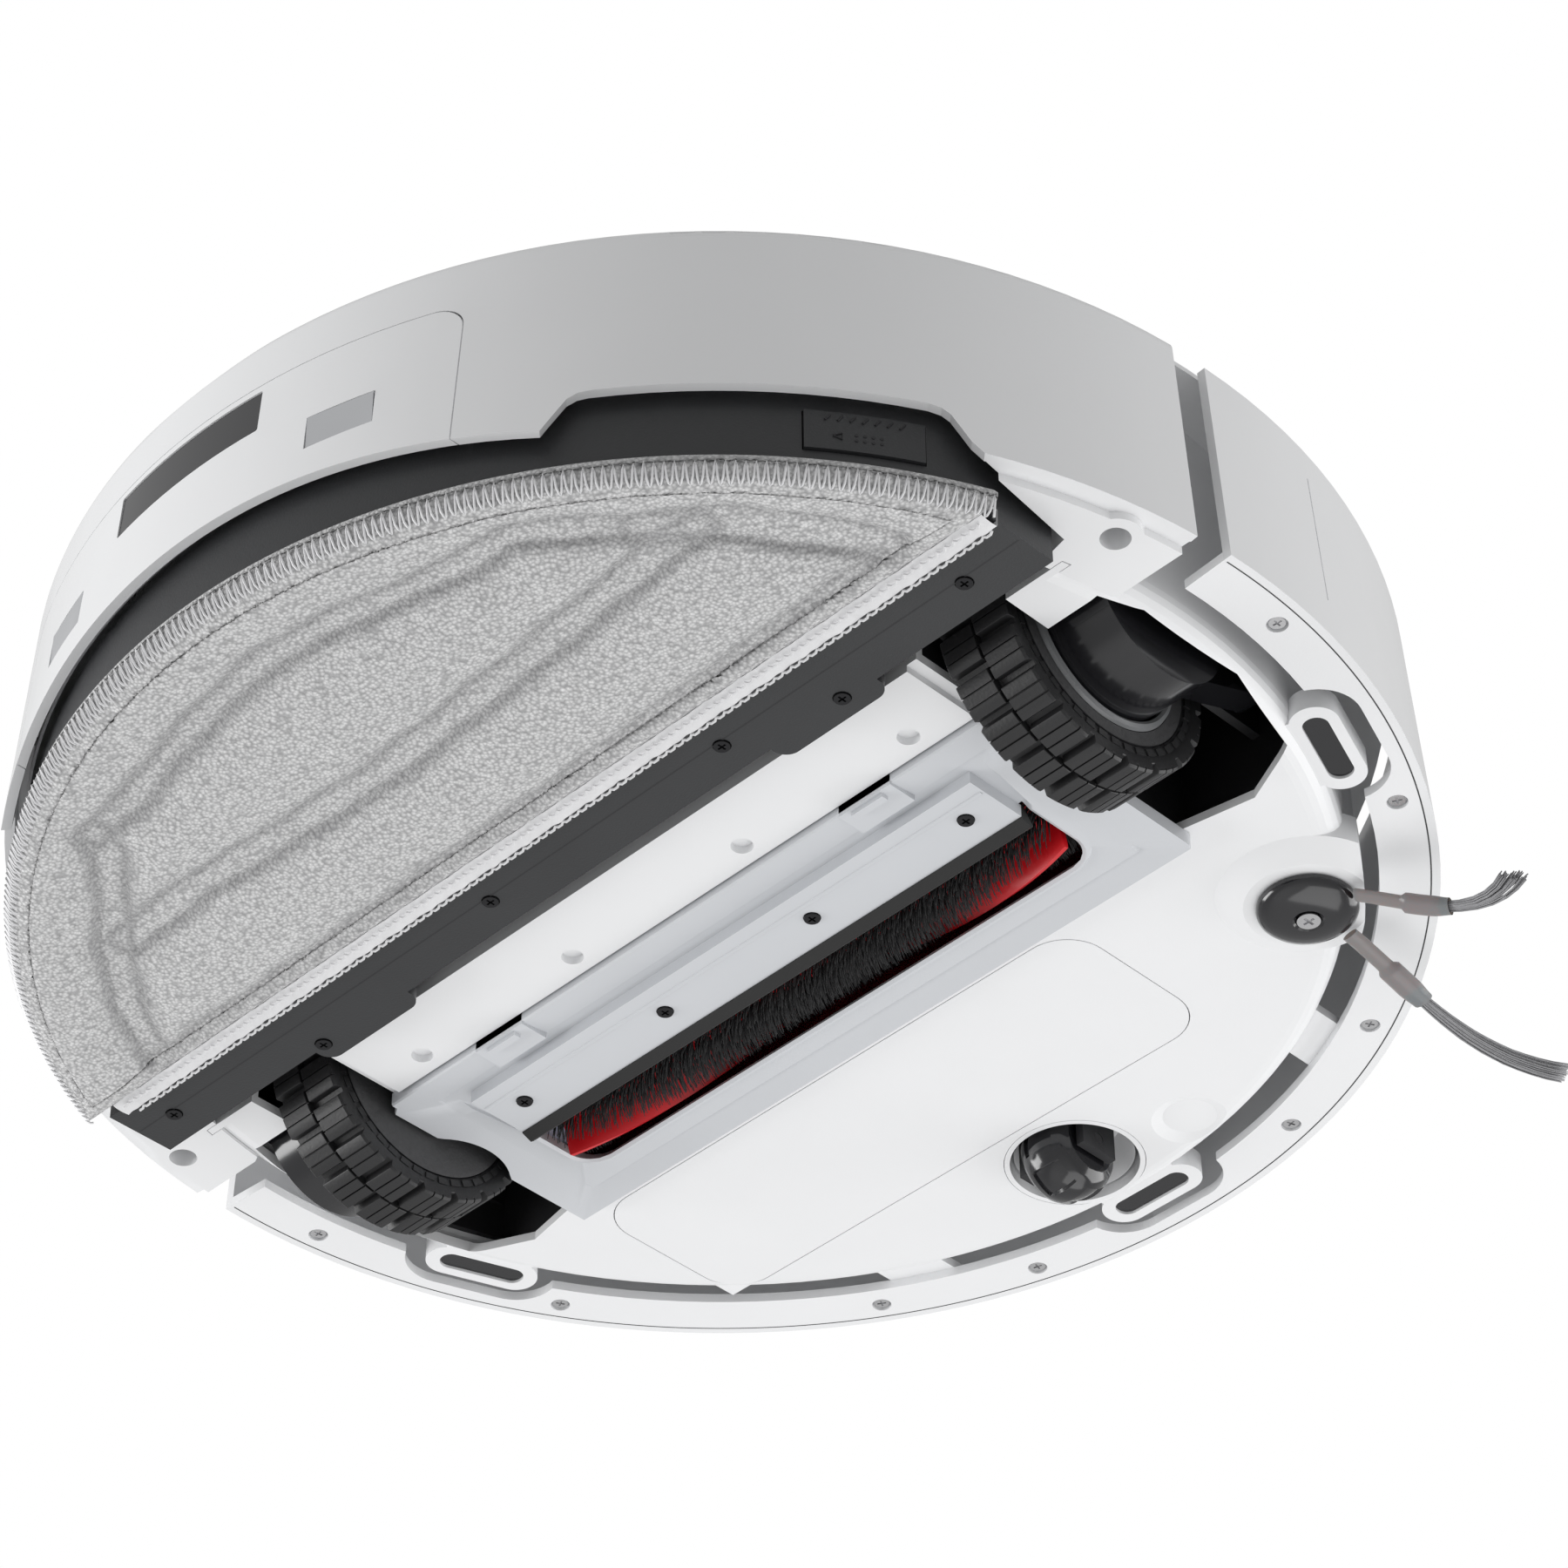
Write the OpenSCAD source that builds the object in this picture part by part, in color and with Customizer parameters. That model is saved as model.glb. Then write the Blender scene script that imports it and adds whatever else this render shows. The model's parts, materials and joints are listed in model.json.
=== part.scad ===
// Round robot vacuum with a mop pad, modelled as separate parts.
// Millimetres. +Z is up, -Y is the driving direction, +X is the port side.
// Heights in the modules are measured from the working floor, the plane on which
// the mop pad and the caster run. The drive wheels hang below it when the robot
// is off load, so every module is raised by wheel_drop and Z = 0 is the lowest
// point of the hanging wheels.

/* [Body] */
// Outside diameter at the foot of the wall
body_d = 350; // [340:1:430]
// Height of the top deck above the working floor
deck_z = 80; // [79:1:100]
// How far the wall leans in from foot to rim
wall_taper = 3.5; // [1:0.5:6]
// Thickness of the outer walls
shell_wall = 2.4; // [1.8:0.1:3]
// Height of the belly above the working floor
belly_z = 12; // [11:0.5:13]
// Thickness of the belly plate
belly_wall = 2.5; // [2:0.1:3]
// Width of the shadow gap between fitted panels
seam = 0.3; // [0.2:0.05:0.5]

/* [Bumper] */
// How far the bumper travels back
bumper_travel = 4; // [2:0.5:5]
// Angle of each bumper end behind the middle of the body
bumper_end_deg = 3.4; // [1:0.2:3.8]
// Angle of each rear shell end behind the middle of the body
shell_end_deg = 6.8; // [6.4:0.2:9]
// Radial width of the flat ring under the bumper
bumper_ring_w = 15; // [12:0.5:16]

/* [Drive wheels] */
// Diameter over the tyre
wheel_d = 70; // [60:1:71]
// Width of the tyre
wheel_w = 20.6; // [14:0.2:21]
// Distance from the middle of the body to the middle of the tyre
wheel_x = 117; // [114:0.5:117]
// Place of the axle, hanging
wheel_y = 1; // [-1:0.5:1]
// How far the hanging wheels reach below the working floor
wheel_drop = 9; // [6:0.5:10]
// Length of the gap between pivot and axle, along Y
arm_reach = 43; // [40:0.5:44]

/* [Main brush] */
// Radius over the fins and bristles
brush_r = 18; // [15:0.5:18]
// Length of the bristled part
brush_l = 172; // [150:1:172]
// Place of the brush axis along Y
brush_y = -26.5; // [-27:0.5:-26]
// Height of the brush axis
brush_z = 24; // [24:0.5:26]

/* [Side brush] */
// Place of the side brush across the body
side_x = -110; // [-112:0.5:-106]
// Place of the side brush along the body
side_y = -90; // [-94:0.5:-88]
// Radius of the hub
side_hub_r = 12.5; // [10:0.5:13]
// Reach of the short arm from the hub axis
side_reach_a = 56; // [45:1:58]
// Reach of the long arm from the hub axis
side_reach_b = 86; // [60:1:88]

/* [Caster] */
// Place of the swivel axis along Y
caster_y = -130.5; // [-131:0.5:-130]
// Radius of the caster wheel
caster_r = 12.5; // [10:0.5:13]
// How far the wheel trails behind the swivel axis
caster_trail = 3; // [2:0.5:3]

/* [Mop] */
// Straight front edge of the pad along Y
pad_y = 66; // [64:0.5:70]
// Thickness of the pad
pad_t = 8; // [6:0.5:8]
// Gap from the wall face to the pad's curved edge
pad_inset = 3.5; // [2:0.5:6]
// How far the mop mount drops when released
mop_travel = 12; // [5:1:20]

/* [Top] */
// Place of the lidar turret along Y
lidar_y = -27; // [-35:0.5:-26]
// Radius of the turret
lidar_r = 46; // [40:0.5:46]
// Height of the turret above the deck
turret_h = 17; // [16:0.5:24]
// Hinge line of the bin lid
lid_y = 24; // [23:0.5:26]

/* [Hidden] */
$fn = 64;
eps = 0.01;
body_r = body_d / 2;
shell_low = 8;
rim_fillet = 4;
wall_top = deck_z - rim_fillet;
deck_t = 2.4;
deck_under = deck_z - deck_t;
rim_in = body_r - 12;
tub_r = body_r - 22;
tub_wall = 2.5;
floor_top = belly_z + belly_wall;
tray_z = 30;
tray_top = tray_z + belly_wall;
tub_back = 38;
running = 0.05;
foot_z = 14.3;
arch_top = 25.5;
arch_r = 450;

white = [0.93, 0.93, 0.94];
grey_white = [0.82, 0.83, 0.85];
black = [0.08, 0.08, 0.09];
charcoal = [0.16, 0.17, 0.18];
steel = [0.72, 0.73, 0.75];

// ---------- shared shapes ----------

// Radius of the outer wall at height z
function wall_r(z) = body_r - wall_taper * (z - shell_low) / (wall_top - shell_low);

// Raises a part from the working floor to the frame of the model
module placed() translate([0, 0, wheel_drop]) children();

// Sweeps a profile about Z from angle a0 to a1, counted from +X towards +Y
module turn(a0, a1) rotate([0, 0, a0]) rotate_extrude(angle = a1 - a0) children();

// Strip of the outer wall, inset from its face, between two heights
module wall_strip(z0, z1, t, inset = 0) {
    polygon([
        [wall_r(z0) - inset - t, z0], [wall_r(z0) - inset, z0],
        [wall_r(z1) - inset, z1], [wall_r(z1) - inset - t, z1]
    ]);
}

// Rectangle with rounded corners, given by its corners
module rounded(x0, y0, x1, y1, r) {
    translate([x0 + r, y0]) square([x1 - x0 - 2 * r, y1 - y0]);
    translate([x0, y0 + r]) square([x1 - x0, y1 - y0 - 2 * r]);
    for (x = [x0 + r, x1 - r], y = [y0 + r, y1 - r]) translate([x, y]) circle(r);
}

// Slot with round ends along X, centred
module slot(l, w) {
    square([l - w, w], center = true);
    for (s = [-1, 1]) translate([s * (l - w) / 2, 0]) circle(w / 2);
}

// Box given by its two corners
module block(a, b) translate(a) cube(b - a);

// Cylinder along X
module xcyl(x0, x1, r) translate([x0, 0, 0]) rotate([0, 90, 0]) cylinder(r = r, h = x1 - x0);

// Places a child at the same spot on the port and the starboard side
module both_sides() {
    children();
    mirror([1, 0, 0]) children();
}

function unit(v) = v / norm(v);
// Ring of n points around p, square to the direction d, a wide and b high
function ring(p, d, a, b, n) =
    let (side = unit(cross(d, [0, 0, 1])), up = cross(side, d))
    [for (i = [0:n - 1]) p + side * a * cos(360 * i / n) + up * b * sin(360 * i / n)];

// Solid swept along a list of points with half widths a[i] and half heights b[i]
module swept(path, a, b, n = 8) {
    last = len(path) - 1;
    rings = [for (i = [0:last])
        ring(path[i], unit(path[min(i + 1, last)] - path[max(i - 1, 0)]), a[i], b[i], n)];
    points = [for (r = rings) for (p = r) p];
    sides = [for (i = [0:last - 1]) for (j = [0:n - 1]) for (half = [0, 1])
        half == 0 ? [i * n + j, i * n + (j + 1) % n, (i + 1) * n + j]
            : [i * n + (j + 1) % n, (i + 1) * n + (j + 1) % n, (i + 1) * n + j]];
    ends = [[for (j = [n - 1:-1:0]) j], [for (j = [0:n - 1]) last * n + j]];
    polyhedron(points, concat(sides, ends), convexity = 6);
}

// Coil spring standing on its axis, from height z0 to z1
module coil(z0, z1, r, wire, turns) {
    steps = turns * 12;
    path = [for (i = [0:steps])
        [r * cos(30 * i), r * sin(30 * i), z0 + wire + (z1 - z0 - 2 * wire) * i / steps]];
    swept(path, [for (p = path) wire], [for (p = path) wire], 6);
}

// ---------- outer body ----------

dock_half = 76;
dock_top = 63;
dock_low = foot_z;
contact_deg = 16.3;
contact_z = 38;
contact_w = 17.6;
contact_h = 9.6;
window_half = 24.8;
window_z0 = 48.2;
window_z1 = 60.8;
plate_hole = [body_r - 13.4, 35];
ledge_r = body_r - 9;
boss_head_z = 19;

// Outline of the dock panel seen from behind, grown by g
module dock_outline(g) rounded(-dock_half - g, dock_low - g - 20, dock_half + g, dock_top + g, 7);

// Sector of the wall, both sides, between two angles counted from the rear middle
module both_sectors(d0, d1) for (s = [90 + d0, 90 - d1]) turn(s, s + d1 - d0) children();

module rim_profile() {
    wall_strip(foot_z, wall_top, shell_wall);
    difference() {
        translate([wall_r(wall_top) - rim_fillet, wall_top]) circle(rim_fillet);
        translate([0, -eps]) square([body_r, wall_top]);
        translate([wall_r(wall_top) - rim_fillet, wall_top]) circle(rim_fillet - shell_wall);
        square([wall_r(wall_top) - rim_fillet, deck_z]);
    }
    translate([rim_in, deck_under]) square([wall_r(wall_top) - rim_fillet - rim_in + eps, deck_t]);
    translate([rim_in - 5, deck_under - 2.4]) square([5.6, 2.4]);
    translate([rim_in, deck_under - 2.4]) square([0.6, 2.4 + eps]);
}

// Foot of the rear shell beside the wheel, seen from below, between two radii
module foot_outline(r0, r1) difference() {
    intersection() {
        circle(r1);
        polygon([
            [body_r - 45, 21], [body_r - 29, 22.5], [body_r - 25, body_r * sin(shell_end_deg)],
            [body_r, body_r * sin(shell_end_deg)], [body_r, 78], [body_r - 18, 74],
            [body_r - 21.5, 43], [body_r - 45, 38]
        ]);
    }
    circle(r0);
}

// Space under the arched rear edge of the wall and under its raised part over each release button
module rear_arch() {
    translate([0, 0, arch_top - arch_r]) rotate([-90, 0, 0]) cylinder(r = arch_r, h = body_r + 5, $fn = 360);
    both_sides() rotate([0, 0, -48.5]) translate([0, body_r + 5, 0]) rotate([90, 0, 0]) linear_extrude(60) polygon([
        [-49, 13], [-47.5, 15.5], [-46, 18], [-41.8, 24.6], [-39.5, 26.1], [-37, 26.5],
        [37.5, 26.5], [40.5, 25.9], [42.5, 24.4], [47, 17], [49.5, 14.6], [51, 13]
    ]);
}

module side_shell() color(white) placed() {
    difference() {
        turn(shell_end_deg, 180 - shell_end_deg) rim_profile();
        translate([0, body_r + 5, 0]) rotate([90, 0, 0]) linear_extrude(40) dock_outline(seam);
        rear_arch();
        translate([-31, wall_r(wall_top) - 4.5, deck_z - 0.5]) rotate([-32, 0, 0])
            cube([62, 20, 12]);
    }
    both_sectors(24.2, 28) wall_strip(34, 58, 2, shell_wall);
    both_sectors(12, 28) wall_strip(60, 67, 2, shell_wall);
    both_sectors(28.5, 80) polygon([
        [ledge_r, tray_top], [wall_r(tray_top) - shell_wall, tray_top],
        [wall_r(tray_top + 2) - shell_wall, tray_top + 2], [ledge_r, tray_top + 2]
    ]);
    both_sides() difference() {
        union() {
            translate([0, 0, belly_z]) linear_extrude(1) difference() {
                foot_outline(tub_r - 3.3, body_r - 5);
                translate([0, tub_back - 2.2]) square([tub_r + 0.2, 2.4]);
            }
            translate([0, 0, belly_z]) linear_extrude(foot_z - belly_z + 0.1) foot_outline(tub_r + seam, body_r - 5);
            translate([0, 0, foot_z]) linear_extrude(2.5) foot_outline(tub_r + seam, body_r - shell_wall);
            translate([plate_hole[0], plate_hole[1], belly_z]) cylinder(r = 6.5, h = 28.1 - belly_z);
        }
        translate([plate_hole[0], plate_hole[1], 9]) cylinder(r = 3.6, h = boss_head_z - 9);
        translate([plate_hole[0], plate_hole[1], 9]) cylinder(r = 1.55, h = 18);
    }
}

module dock_panel() color(white) placed() difference() {
    intersection() {
        turn(60, 120) wall_strip(dock_low, dock_top + 2, shell_wall);
        translate([0, body_r + 5, 0]) rotate([90, 0, 0]) linear_extrude(40) dock_outline(0);
    }
    translate([0, body_r + 5, 0]) rotate([90, 0, 0]) linear_extrude(20)
        rounded(-window_half - seam, window_z0 - seam, window_half + seam, window_z1 + seam, 0.6);
    rear_arch();
    for (s = [-1, 1]) rotate([0, 0, s * contact_deg])
        block([-contact_w / 2 - seam, body_r - 9, contact_z - contact_h / 2 - seam],
            [contact_w / 2 + seam, body_r + 2, contact_z + contact_h / 2 + seam]);
}

module charge_contacts() color(steel) placed() {
    face = wall_r(contact_z) - 0.3;
    back = wall_r(contact_z + contact_h / 2 + 2) - shell_wall - 0.4;
    for (s = [-1, 1]) rotate([0, 0, s * contact_deg]) {
        block([-contact_w / 2, back - 1, contact_z - contact_h / 2],
            [contact_w / 2, face, contact_z + contact_h / 2]);
        block([-contact_w / 2 - 2, back - 1.6, contact_z - contact_h / 2 - 0.6],
            [contact_w / 2 + 2, back, contact_z + contact_h / 2 + 2]);
    }
}

module ir_window() color(black) placed() {
    intersection() {
        turn(70, 110) wall_strip(window_z0, window_z1, 2.3, 0.3);
        block([-window_half, 0, window_z0], [window_half, body_r, window_z1]);
    }
    intersection() {
        turn(70, 110) wall_strip(window_z0 - 1.8, window_z1 + 1.8, 1.5, shell_wall);
        block([-window_half - 2, 0, 0], [window_half + 2, body_r, deck_z]);
    }
}

button_x = 14;
button_y = -100;
button_r = 7;

module top_deck() color(white) placed() difference() {
    union() {
        difference() {
            translate([0, 0, deck_under]) cylinder(r = rim_in - seam, h = deck_t);
            block([-body_r, lid_y - 2.25, 0], [body_r, body_r, deck_z + 1]);
        }
        difference() {
            translate([0, 0, deck_under]) cylinder(r = body_r - 8, h = deck_t - 1);
            block([-body_r, rim_in * sin(shell_end_deg) - 1.5, 0], [body_r, body_r, deck_z + 1]);
        }
        difference() {
            translate([0, 0, deck_z - 1 - eps]) cylinder(r1 = body_r - 8, r2 = body_r - 9, h = 1 + eps);
            block([-body_r, rim_in * sin(shell_end_deg) - 1.5, 0], [body_r, body_r, deck_z + 1]);
        }
        both_sides() block([150.4, lid_y - 6, deck_z - 4.6], [154.5, lid_y + 2.3, deck_z - 0.1]);
    }
    translate([0, lidar_y, 0]) cylinder(r = lidar_r - 8, h = deck_z + 1);
    for (s = [-1, 1]) translate([s * button_x, button_y, 0])
        cylinder(r = button_r + seam, h = deck_z + 1);
    translate([0, lid_y, deck_z - 1.9]) xcyl(-160, 160, 1.25);
}

// ---------- chassis ----------

guard_back = 15;
guard_front = -54;
strip_y = 21.5;
strip_dimples = [-84.5, -29.5, 29.5, 84.5];
cell_x0 = -61.5;
cell_x1 = 106.5;
cell_y0 = -110;
cell_y1 = -58;
cliff_r = body_r - 18;
cliff_deg = [-69.5, 0, 69.5];
ring_z = 14.8;
dome_r = 22;
tongue_x = 70;
tongue_end = -tub_r + 25.5;
chamber_x0 = -91;
chamber_x1 = 94;
chamber_y0 = -48;
chamber_y1 = 0;
chamber_top = 48;

// Outline of the starboard or port wheel opening, on the port side
module well_outline() {
    polygon([
        [103, -50], [125, -54], [142, -46], [149.5, -20], [149.5, 12], [146, 24],
        [131, 24], [131, 43], [103, 43]
    ]);
}

// Places a child at each cliff sensor, its X along the body's edge
module at_cliffs() for (a = cliff_deg) rotate([0, 0, a]) translate([0, -cliff_r, 0]) children();

// Points of an arc around c from angle a0 to a1
function arc(c, r, a0, a1, n) =
    [for (i = [0:n]) c + r * [cos(a0 + (a1 - a0) * i / n), sin(a0 + (a1 - a0) * i / n)]];

// Half section of the tub: floor, rounded edge and wall
module tub_profile() {
    edge = 7;
    c = [tub_r - edge, belly_z + edge];
    polygon(concat(
        [[0, belly_z]], arc(c, edge, -90, 0, 6), [[tub_r, deck_under], [tub_r - tub_wall, deck_under]],
        arc(c, edge - tub_wall, 0, -90, 6), [[0, floor_top]]
    ));
}

module bottom_chassis() color(white) placed() difference() {
    union() {
        difference() {
            rotate_extrude() tub_profile();
            block([-body_r, tub_back, 0], [body_r, body_r, tray_z]);
            block([-body_r, lid_y - 6.5, deck_under - 2.8], [body_r, body_r, deck_z]);
        }
        intersection() {
            cylinder(r = tub_r, h = deck_z);
            block([-body_r, tub_back - 2, belly_z], [body_r, tub_back, tray_top]);
        }
        intersection() {
            translate([0, 0, tray_z]) cylinder(r = body_r - shell_wall - 3, h = belly_wall);
            block([-body_r, tub_back - 2, 0], [body_r, body_r, deck_z]);
        }
        block([-100, guard_back + 0.5, 10], [100, tub_back, belly_z + eps]);
        intersection() {
            translate([side_x, side_y, 0]) union() {
                translate([0, 0, 8.5]) cylinder(r1 = side_hub_r + 3, r2 = dome_r, h = belly_z - 8.5 + eps);
                translate([0, 0, belly_z]) cylinder(r = dome_r, h = 8);
            }
            cylinder(r = tub_r + 3, h = deck_z);
        }
        translate([side_x, side_y, belly_z]) cylinder(r = side_motor_r + 2.2, h = 38);
        block([cell_x0 - 3, cell_y0 - 1.5, floor_top - eps], [cell_x1 + 3, cell_y1 + 1.5, floor_top + 2]);
        at_cliffs() {
            translate([0, 0, 14.2]) linear_extrude(6) slot(31, 12);
            block([-12, 0, 14.2], [12, 6.4, 20.2]);
        }
    }
    both_sides() translate([0, 0, 5]) linear_extrude(deck_z) well_outline();
    block([chamber_x0, chamber_y0, 5], [chamber_x1, chamber_y1, chamber_top]);
    block([chamber_x0 - 10, brush_y - 14, floor_top], [chamber_x0, brush_y + 14, chamber_top]);
    translate([0, 0, belly_z - eps]) linear_extrude(belly_wall + eps)
        rounded(cell_x0, cell_y0, cell_x1, cell_y1, 12);
    translate([0, 0, belly_z]) linear_extrude(10)
        rounded(cell_x0 + 4, cell_y0 + 4, cell_x1 - 4, cell_y1 - 3, 8);
    translate([caster_x, caster_y, 5]) cylinder(r = socket_rim + 0.2, h = 12);
    translate([side_x, side_y, 5]) cylinder(r = 5, h = 12);
    translate([side_x, side_y, floor_top]) cylinder(r = side_motor_r + 0.2, h = 40);
    translate([-30, -138, belly_z - eps]) cylinder(r1 = 10, r2 = 7, h = 1.4);
    for (x = strip_dimples) translate([x, strip_y, 5]) cylinder(r = 2.8, h = 7.2);
    both_sides() block([tongue_x - 8.4, -tub_r - 5, ring_z + 2.1], [tongue_x + 8.4, tongue_end + 6, ring_z + 5.4]);
    at_cliffs() translate([0, 0, 14]) linear_extrude(3) slot(23.4, 6.4);
}

module battery_cover() color(white) placed() translate([0, 0, belly_z]) linear_extrude(belly_wall)
    rounded(cell_x0 + seam, cell_y0 + seam, cell_x1 - seam, cell_y1 - seam, 12 - seam);

module battery_pack() color([0.2, 0.35, 0.6]) placed()
    block([cell_x0 + 12, cell_y0 + 6, floor_top], [cell_x1 - 12, cell_y1 - 6, 36]);

module main_board() color([0.1, 0.4, 0.2]) placed() difference() {
    union() {
        block([-80, -46, chamber_top + 4], [80, -4, chamber_top + 5.6]);
        for (x = [-70, 70], y = [-42, -8]) translate([x, y, chamber_top]) cylinder(r = 3, h = 4.1);
        for (x = [-45, -12, 25]) block([x, -34, chamber_top + 5.5], [x + 16, -18, chamber_top + 7.4]);
    }
    for (x = [-70, 70], y = [-42, -8]) translate([x, y, chamber_top - 1]) cylinder(r = 1.2, h = 9);
}

// Dark tubs that close the wheel openings from above
liner_top = deck_under - 0.4;

module liner_side() {
    difference() {
        intersection() {
            rotate_extrude() polygon([
                [0, 0], [tub_r - 7.5, 0], [tub_r - 7.5, belly_z + 7.3], [tub_r - tub_wall - 0.3, belly_z + 7.3],
                [tub_r - tub_wall - 0.3, liner_top], [0, liner_top]
            ]);
            union() {
                block([101.2, -56, floor_top], [160, 19, liner_top]);
                block([101.2, -56, floor_top], [160, tub_back - 2.2, liner_top - 6]);
                block([101.2, 19, tray_top], [160, 46, liner_top - 6]);
            }
        }
        intersection() {
            cylinder(r = tub_r - tub_wall - 2, h = liner_top);
            union() {
                block([103, -54.5, 0], [160, 17.5, liner_top - 1.8]);
                block([103, -50, 0], [160, 44.2, liner_top - 7.8]);
            }
        }
    }
    difference() {
        union() {
            for (x = [125.4, 138.3])
                block([x, -55, pivot_z - 8], [x + 2.4, wheel_y - arm_reach + 6, pivot_z + 7]);
        }
        translate([0, wheel_y - arm_reach, pivot_z]) xcyl(120, 145, 3 + running);
    }
    translate([133, spring_y, spring_top]) cylinder(r = 5, h = liner_top - 1.7 - spring_top);
}

module wheel_liners() color(black) placed() both_sides() liner_side();

// ---------- drive wheels ----------

wheel_r = wheel_d / 2;
axle_z = wheel_r - wheel_drop;
pivot_z = axle_z + 12;
tyre_t = 7;
motor_r = wheel_r - tyre_t - 6.5;
arm_x0 = 129;
arm_x1 = 137;
spring_y = -26;
spring_seat = 45;
spring_top = 60;

module drive_arm() {
    pivot = [wheel_y - arm_reach, pivot_z];
    axle = [wheel_y, axle_z];
    translate([arm_x0, 0, 0]) rotate([90, 0, 90]) linear_extrude(arm_x1 - arm_x0) {
        translate(pivot) circle(8);
        translate(axle) circle(13);
        polygon([pivot + [1, 8], axle + [3, 13], axle + [-4, -12.3], pivot + [-2, -7.7]]);
    }
    translate([0, axle[0], axle[1]]) xcyl(113, 145, motor_r);
    translate([133, spring_y, spring_seat - 12]) cylinder(r = 4, h = 12);
    translate([0, pivot[0], pivot[1]]) xcyl(125.8, 140.5, 3);
    translate([0, axle[0], axle[1]]) xcyl(107.6, 114, 4);
}

module wheel_hub() translate([0, wheel_y, axle_z]) difference() {
    xcyl(wheel_x - wheel_w / 2 + 0.4, wheel_x + wheel_w / 2 - 0.4, wheel_r - tyre_t);
    xcyl(wheel_x - wheel_w / 2 + 4.4, 160, wheel_r - tyre_t - 3);
    xcyl(wheel_x - wheel_w / 2 + 0.6, 160, 4 + running);
}

module tyre() translate([0, wheel_y, axle_z]) difference() {
    xcyl(wheel_x - wheel_w / 2, wheel_x + wheel_w / 2, wheel_r);
    xcyl(0, 200, wheel_r - tyre_t);
}

module wheel_spring() translate([133, spring_y, 0]) coil(spring_seat, spring_top, 3.4, 0.7, 5);

module drive_arm_left() color(black) placed() drive_arm();
module drive_arm_right() color(black) placed() mirror([1, 0, 0]) drive_arm();
module wheel_hub_left() color(charcoal) placed() wheel_hub();
module wheel_hub_right() color(charcoal) placed() mirror([1, 0, 0]) wheel_hub();
module tyre_left() color(black) placed() tyre();
module tyre_right() color(black) placed() mirror([1, 0, 0]) tyre();
module wheel_spring_left() color(steel) placed() wheel_spring();
module wheel_spring_right() color(steel) placed() mirror([1, 0, 0]) wheel_spring();

// ---------- suction head ----------

duct_half = 40;
duct_z0 = 34;
duct_z1 = 50;
bin_front = 50.5;

module brush_chamber() color([0.35, 0.05, 0.07]) placed() difference() {
    union() {
        block([chamber_x0, chamber_y0, belly_z], [chamber_x1, chamber_y1, chamber_top]);
        block([-duct_half, chamber_y1 - 5, duct_z0], [duct_half, bin_front - 0.3, duct_z1]);
    }
    translate([0, brush_y, brush_z]) xcyl(chamber_x0 + 2, chamber_x1 - 2, brush_r + 2);
    block([chamber_x0 + 2, brush_y - brush_r - 2, 0], [chamber_x1 - 2, brush_y + brush_r + 2, brush_z]);
    block([-duct_half + 2, brush_y, duct_z0 + 2], [duct_half - 2, bin_front + 1, duct_z1 - 2]);
    translate([0, brush_y, brush_z]) xcyl(chamber_x0 - 1, chamber_x0 + 3, 4.5);
}

// Outline of the guard, with hollowed ends
module guard_outline() {
    difference() {
        translate([-106, guard_front]) square([212, guard_back - guard_front]);
        for (s = [-1, 1]) {
            translate([s * 118, -14]) circle(17.5);
            translate([s * 106, guard_back]) rotate([0, 0, 45]) square([8, 8], center = true);
        }
    }
}

latch_x = 63.5;

module brush_guard() color(grey_white) placed() difference() {
    translate([0, 0, 8]) linear_extrude(belly_z - 8) guard_outline();
    translate([0, 0, 7]) linear_extrude(2.5) rounded(-89, -44, 89, 3.5, 3);
    translate([0, 0, 7]) linear_extrude(3) rounded(-87, -38.5, 87, -14.5, 4);
    translate([0, 0, 9.5]) linear_extrude(3) rounded(-87, brush_y - 15, 87, brush_y + 15, 2);
    for (i = [-3:2:3]) translate([i * 25.5, -6, 8]) cylinder(r = 1.35, h = 3);
    for (s = [-1, 1])
        block([s * latch_x - 8.8, 4, 7], [s * latch_x + 8.8, guard_back + 1, belly_z + 1]);
}

module scraper_bar() color(grey_white) placed() difference() {
    block([-86.5, -14.4, 6], [86.5, 3.1, 9.5]);
    for (i = [-3:2:3]) translate([i * 25.5, -6, 5]) {
        cylinder(r = 2.2, h = 1.9);
        cylinder(r = 1.35, h = 6);
    }
}

module scraper_blade() color(black) placed() translate([-86.5, 0, 0]) rotate([90, 0, 90])
    linear_extrude(173) polygon([[-14.4, 9.4], [-15.2, 9.4], [-18.4, 5.2], [-17.4, 4.4], [-14.4, 5.6]]);

module latch(s) color(grey_white) placed() {
    block([s * latch_x - 8.4, 6.4, 7.4], [s * latch_x + 8.4, guard_back - 0.2, belly_z - 0.2]);
    block([s * latch_x - 5, guard_back - 3, 6.2], [s * latch_x + 5, guard_back - 1, 7.5]);
}
module latch_left() latch(1);
module latch_right() latch(-1);

module brush_bearing() color([0.8, 0.84, 0.92]) placed() translate([0, brush_y, brush_z]) difference() {
    union() {
        xcyl(brush_l / 2 + 3.2, chamber_x1 - 2, 11.9);
        xcyl(brush_l / 2 + 1.2, chamber_x1 - 2, 8);
    }
    xcyl(0, brush_l / 2 + 5.5, 3 + running);
}

// Fins stand between the bristle rows
module brush_rows(first, t, r0, r1) translate([0, brush_y, brush_z]) for (i = [0:2])
    rotate([first + i * 120, 0, 0]) block([-brush_l / 2, -t / 2, r0], [brush_l / 2, t / 2, r1]);

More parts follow.
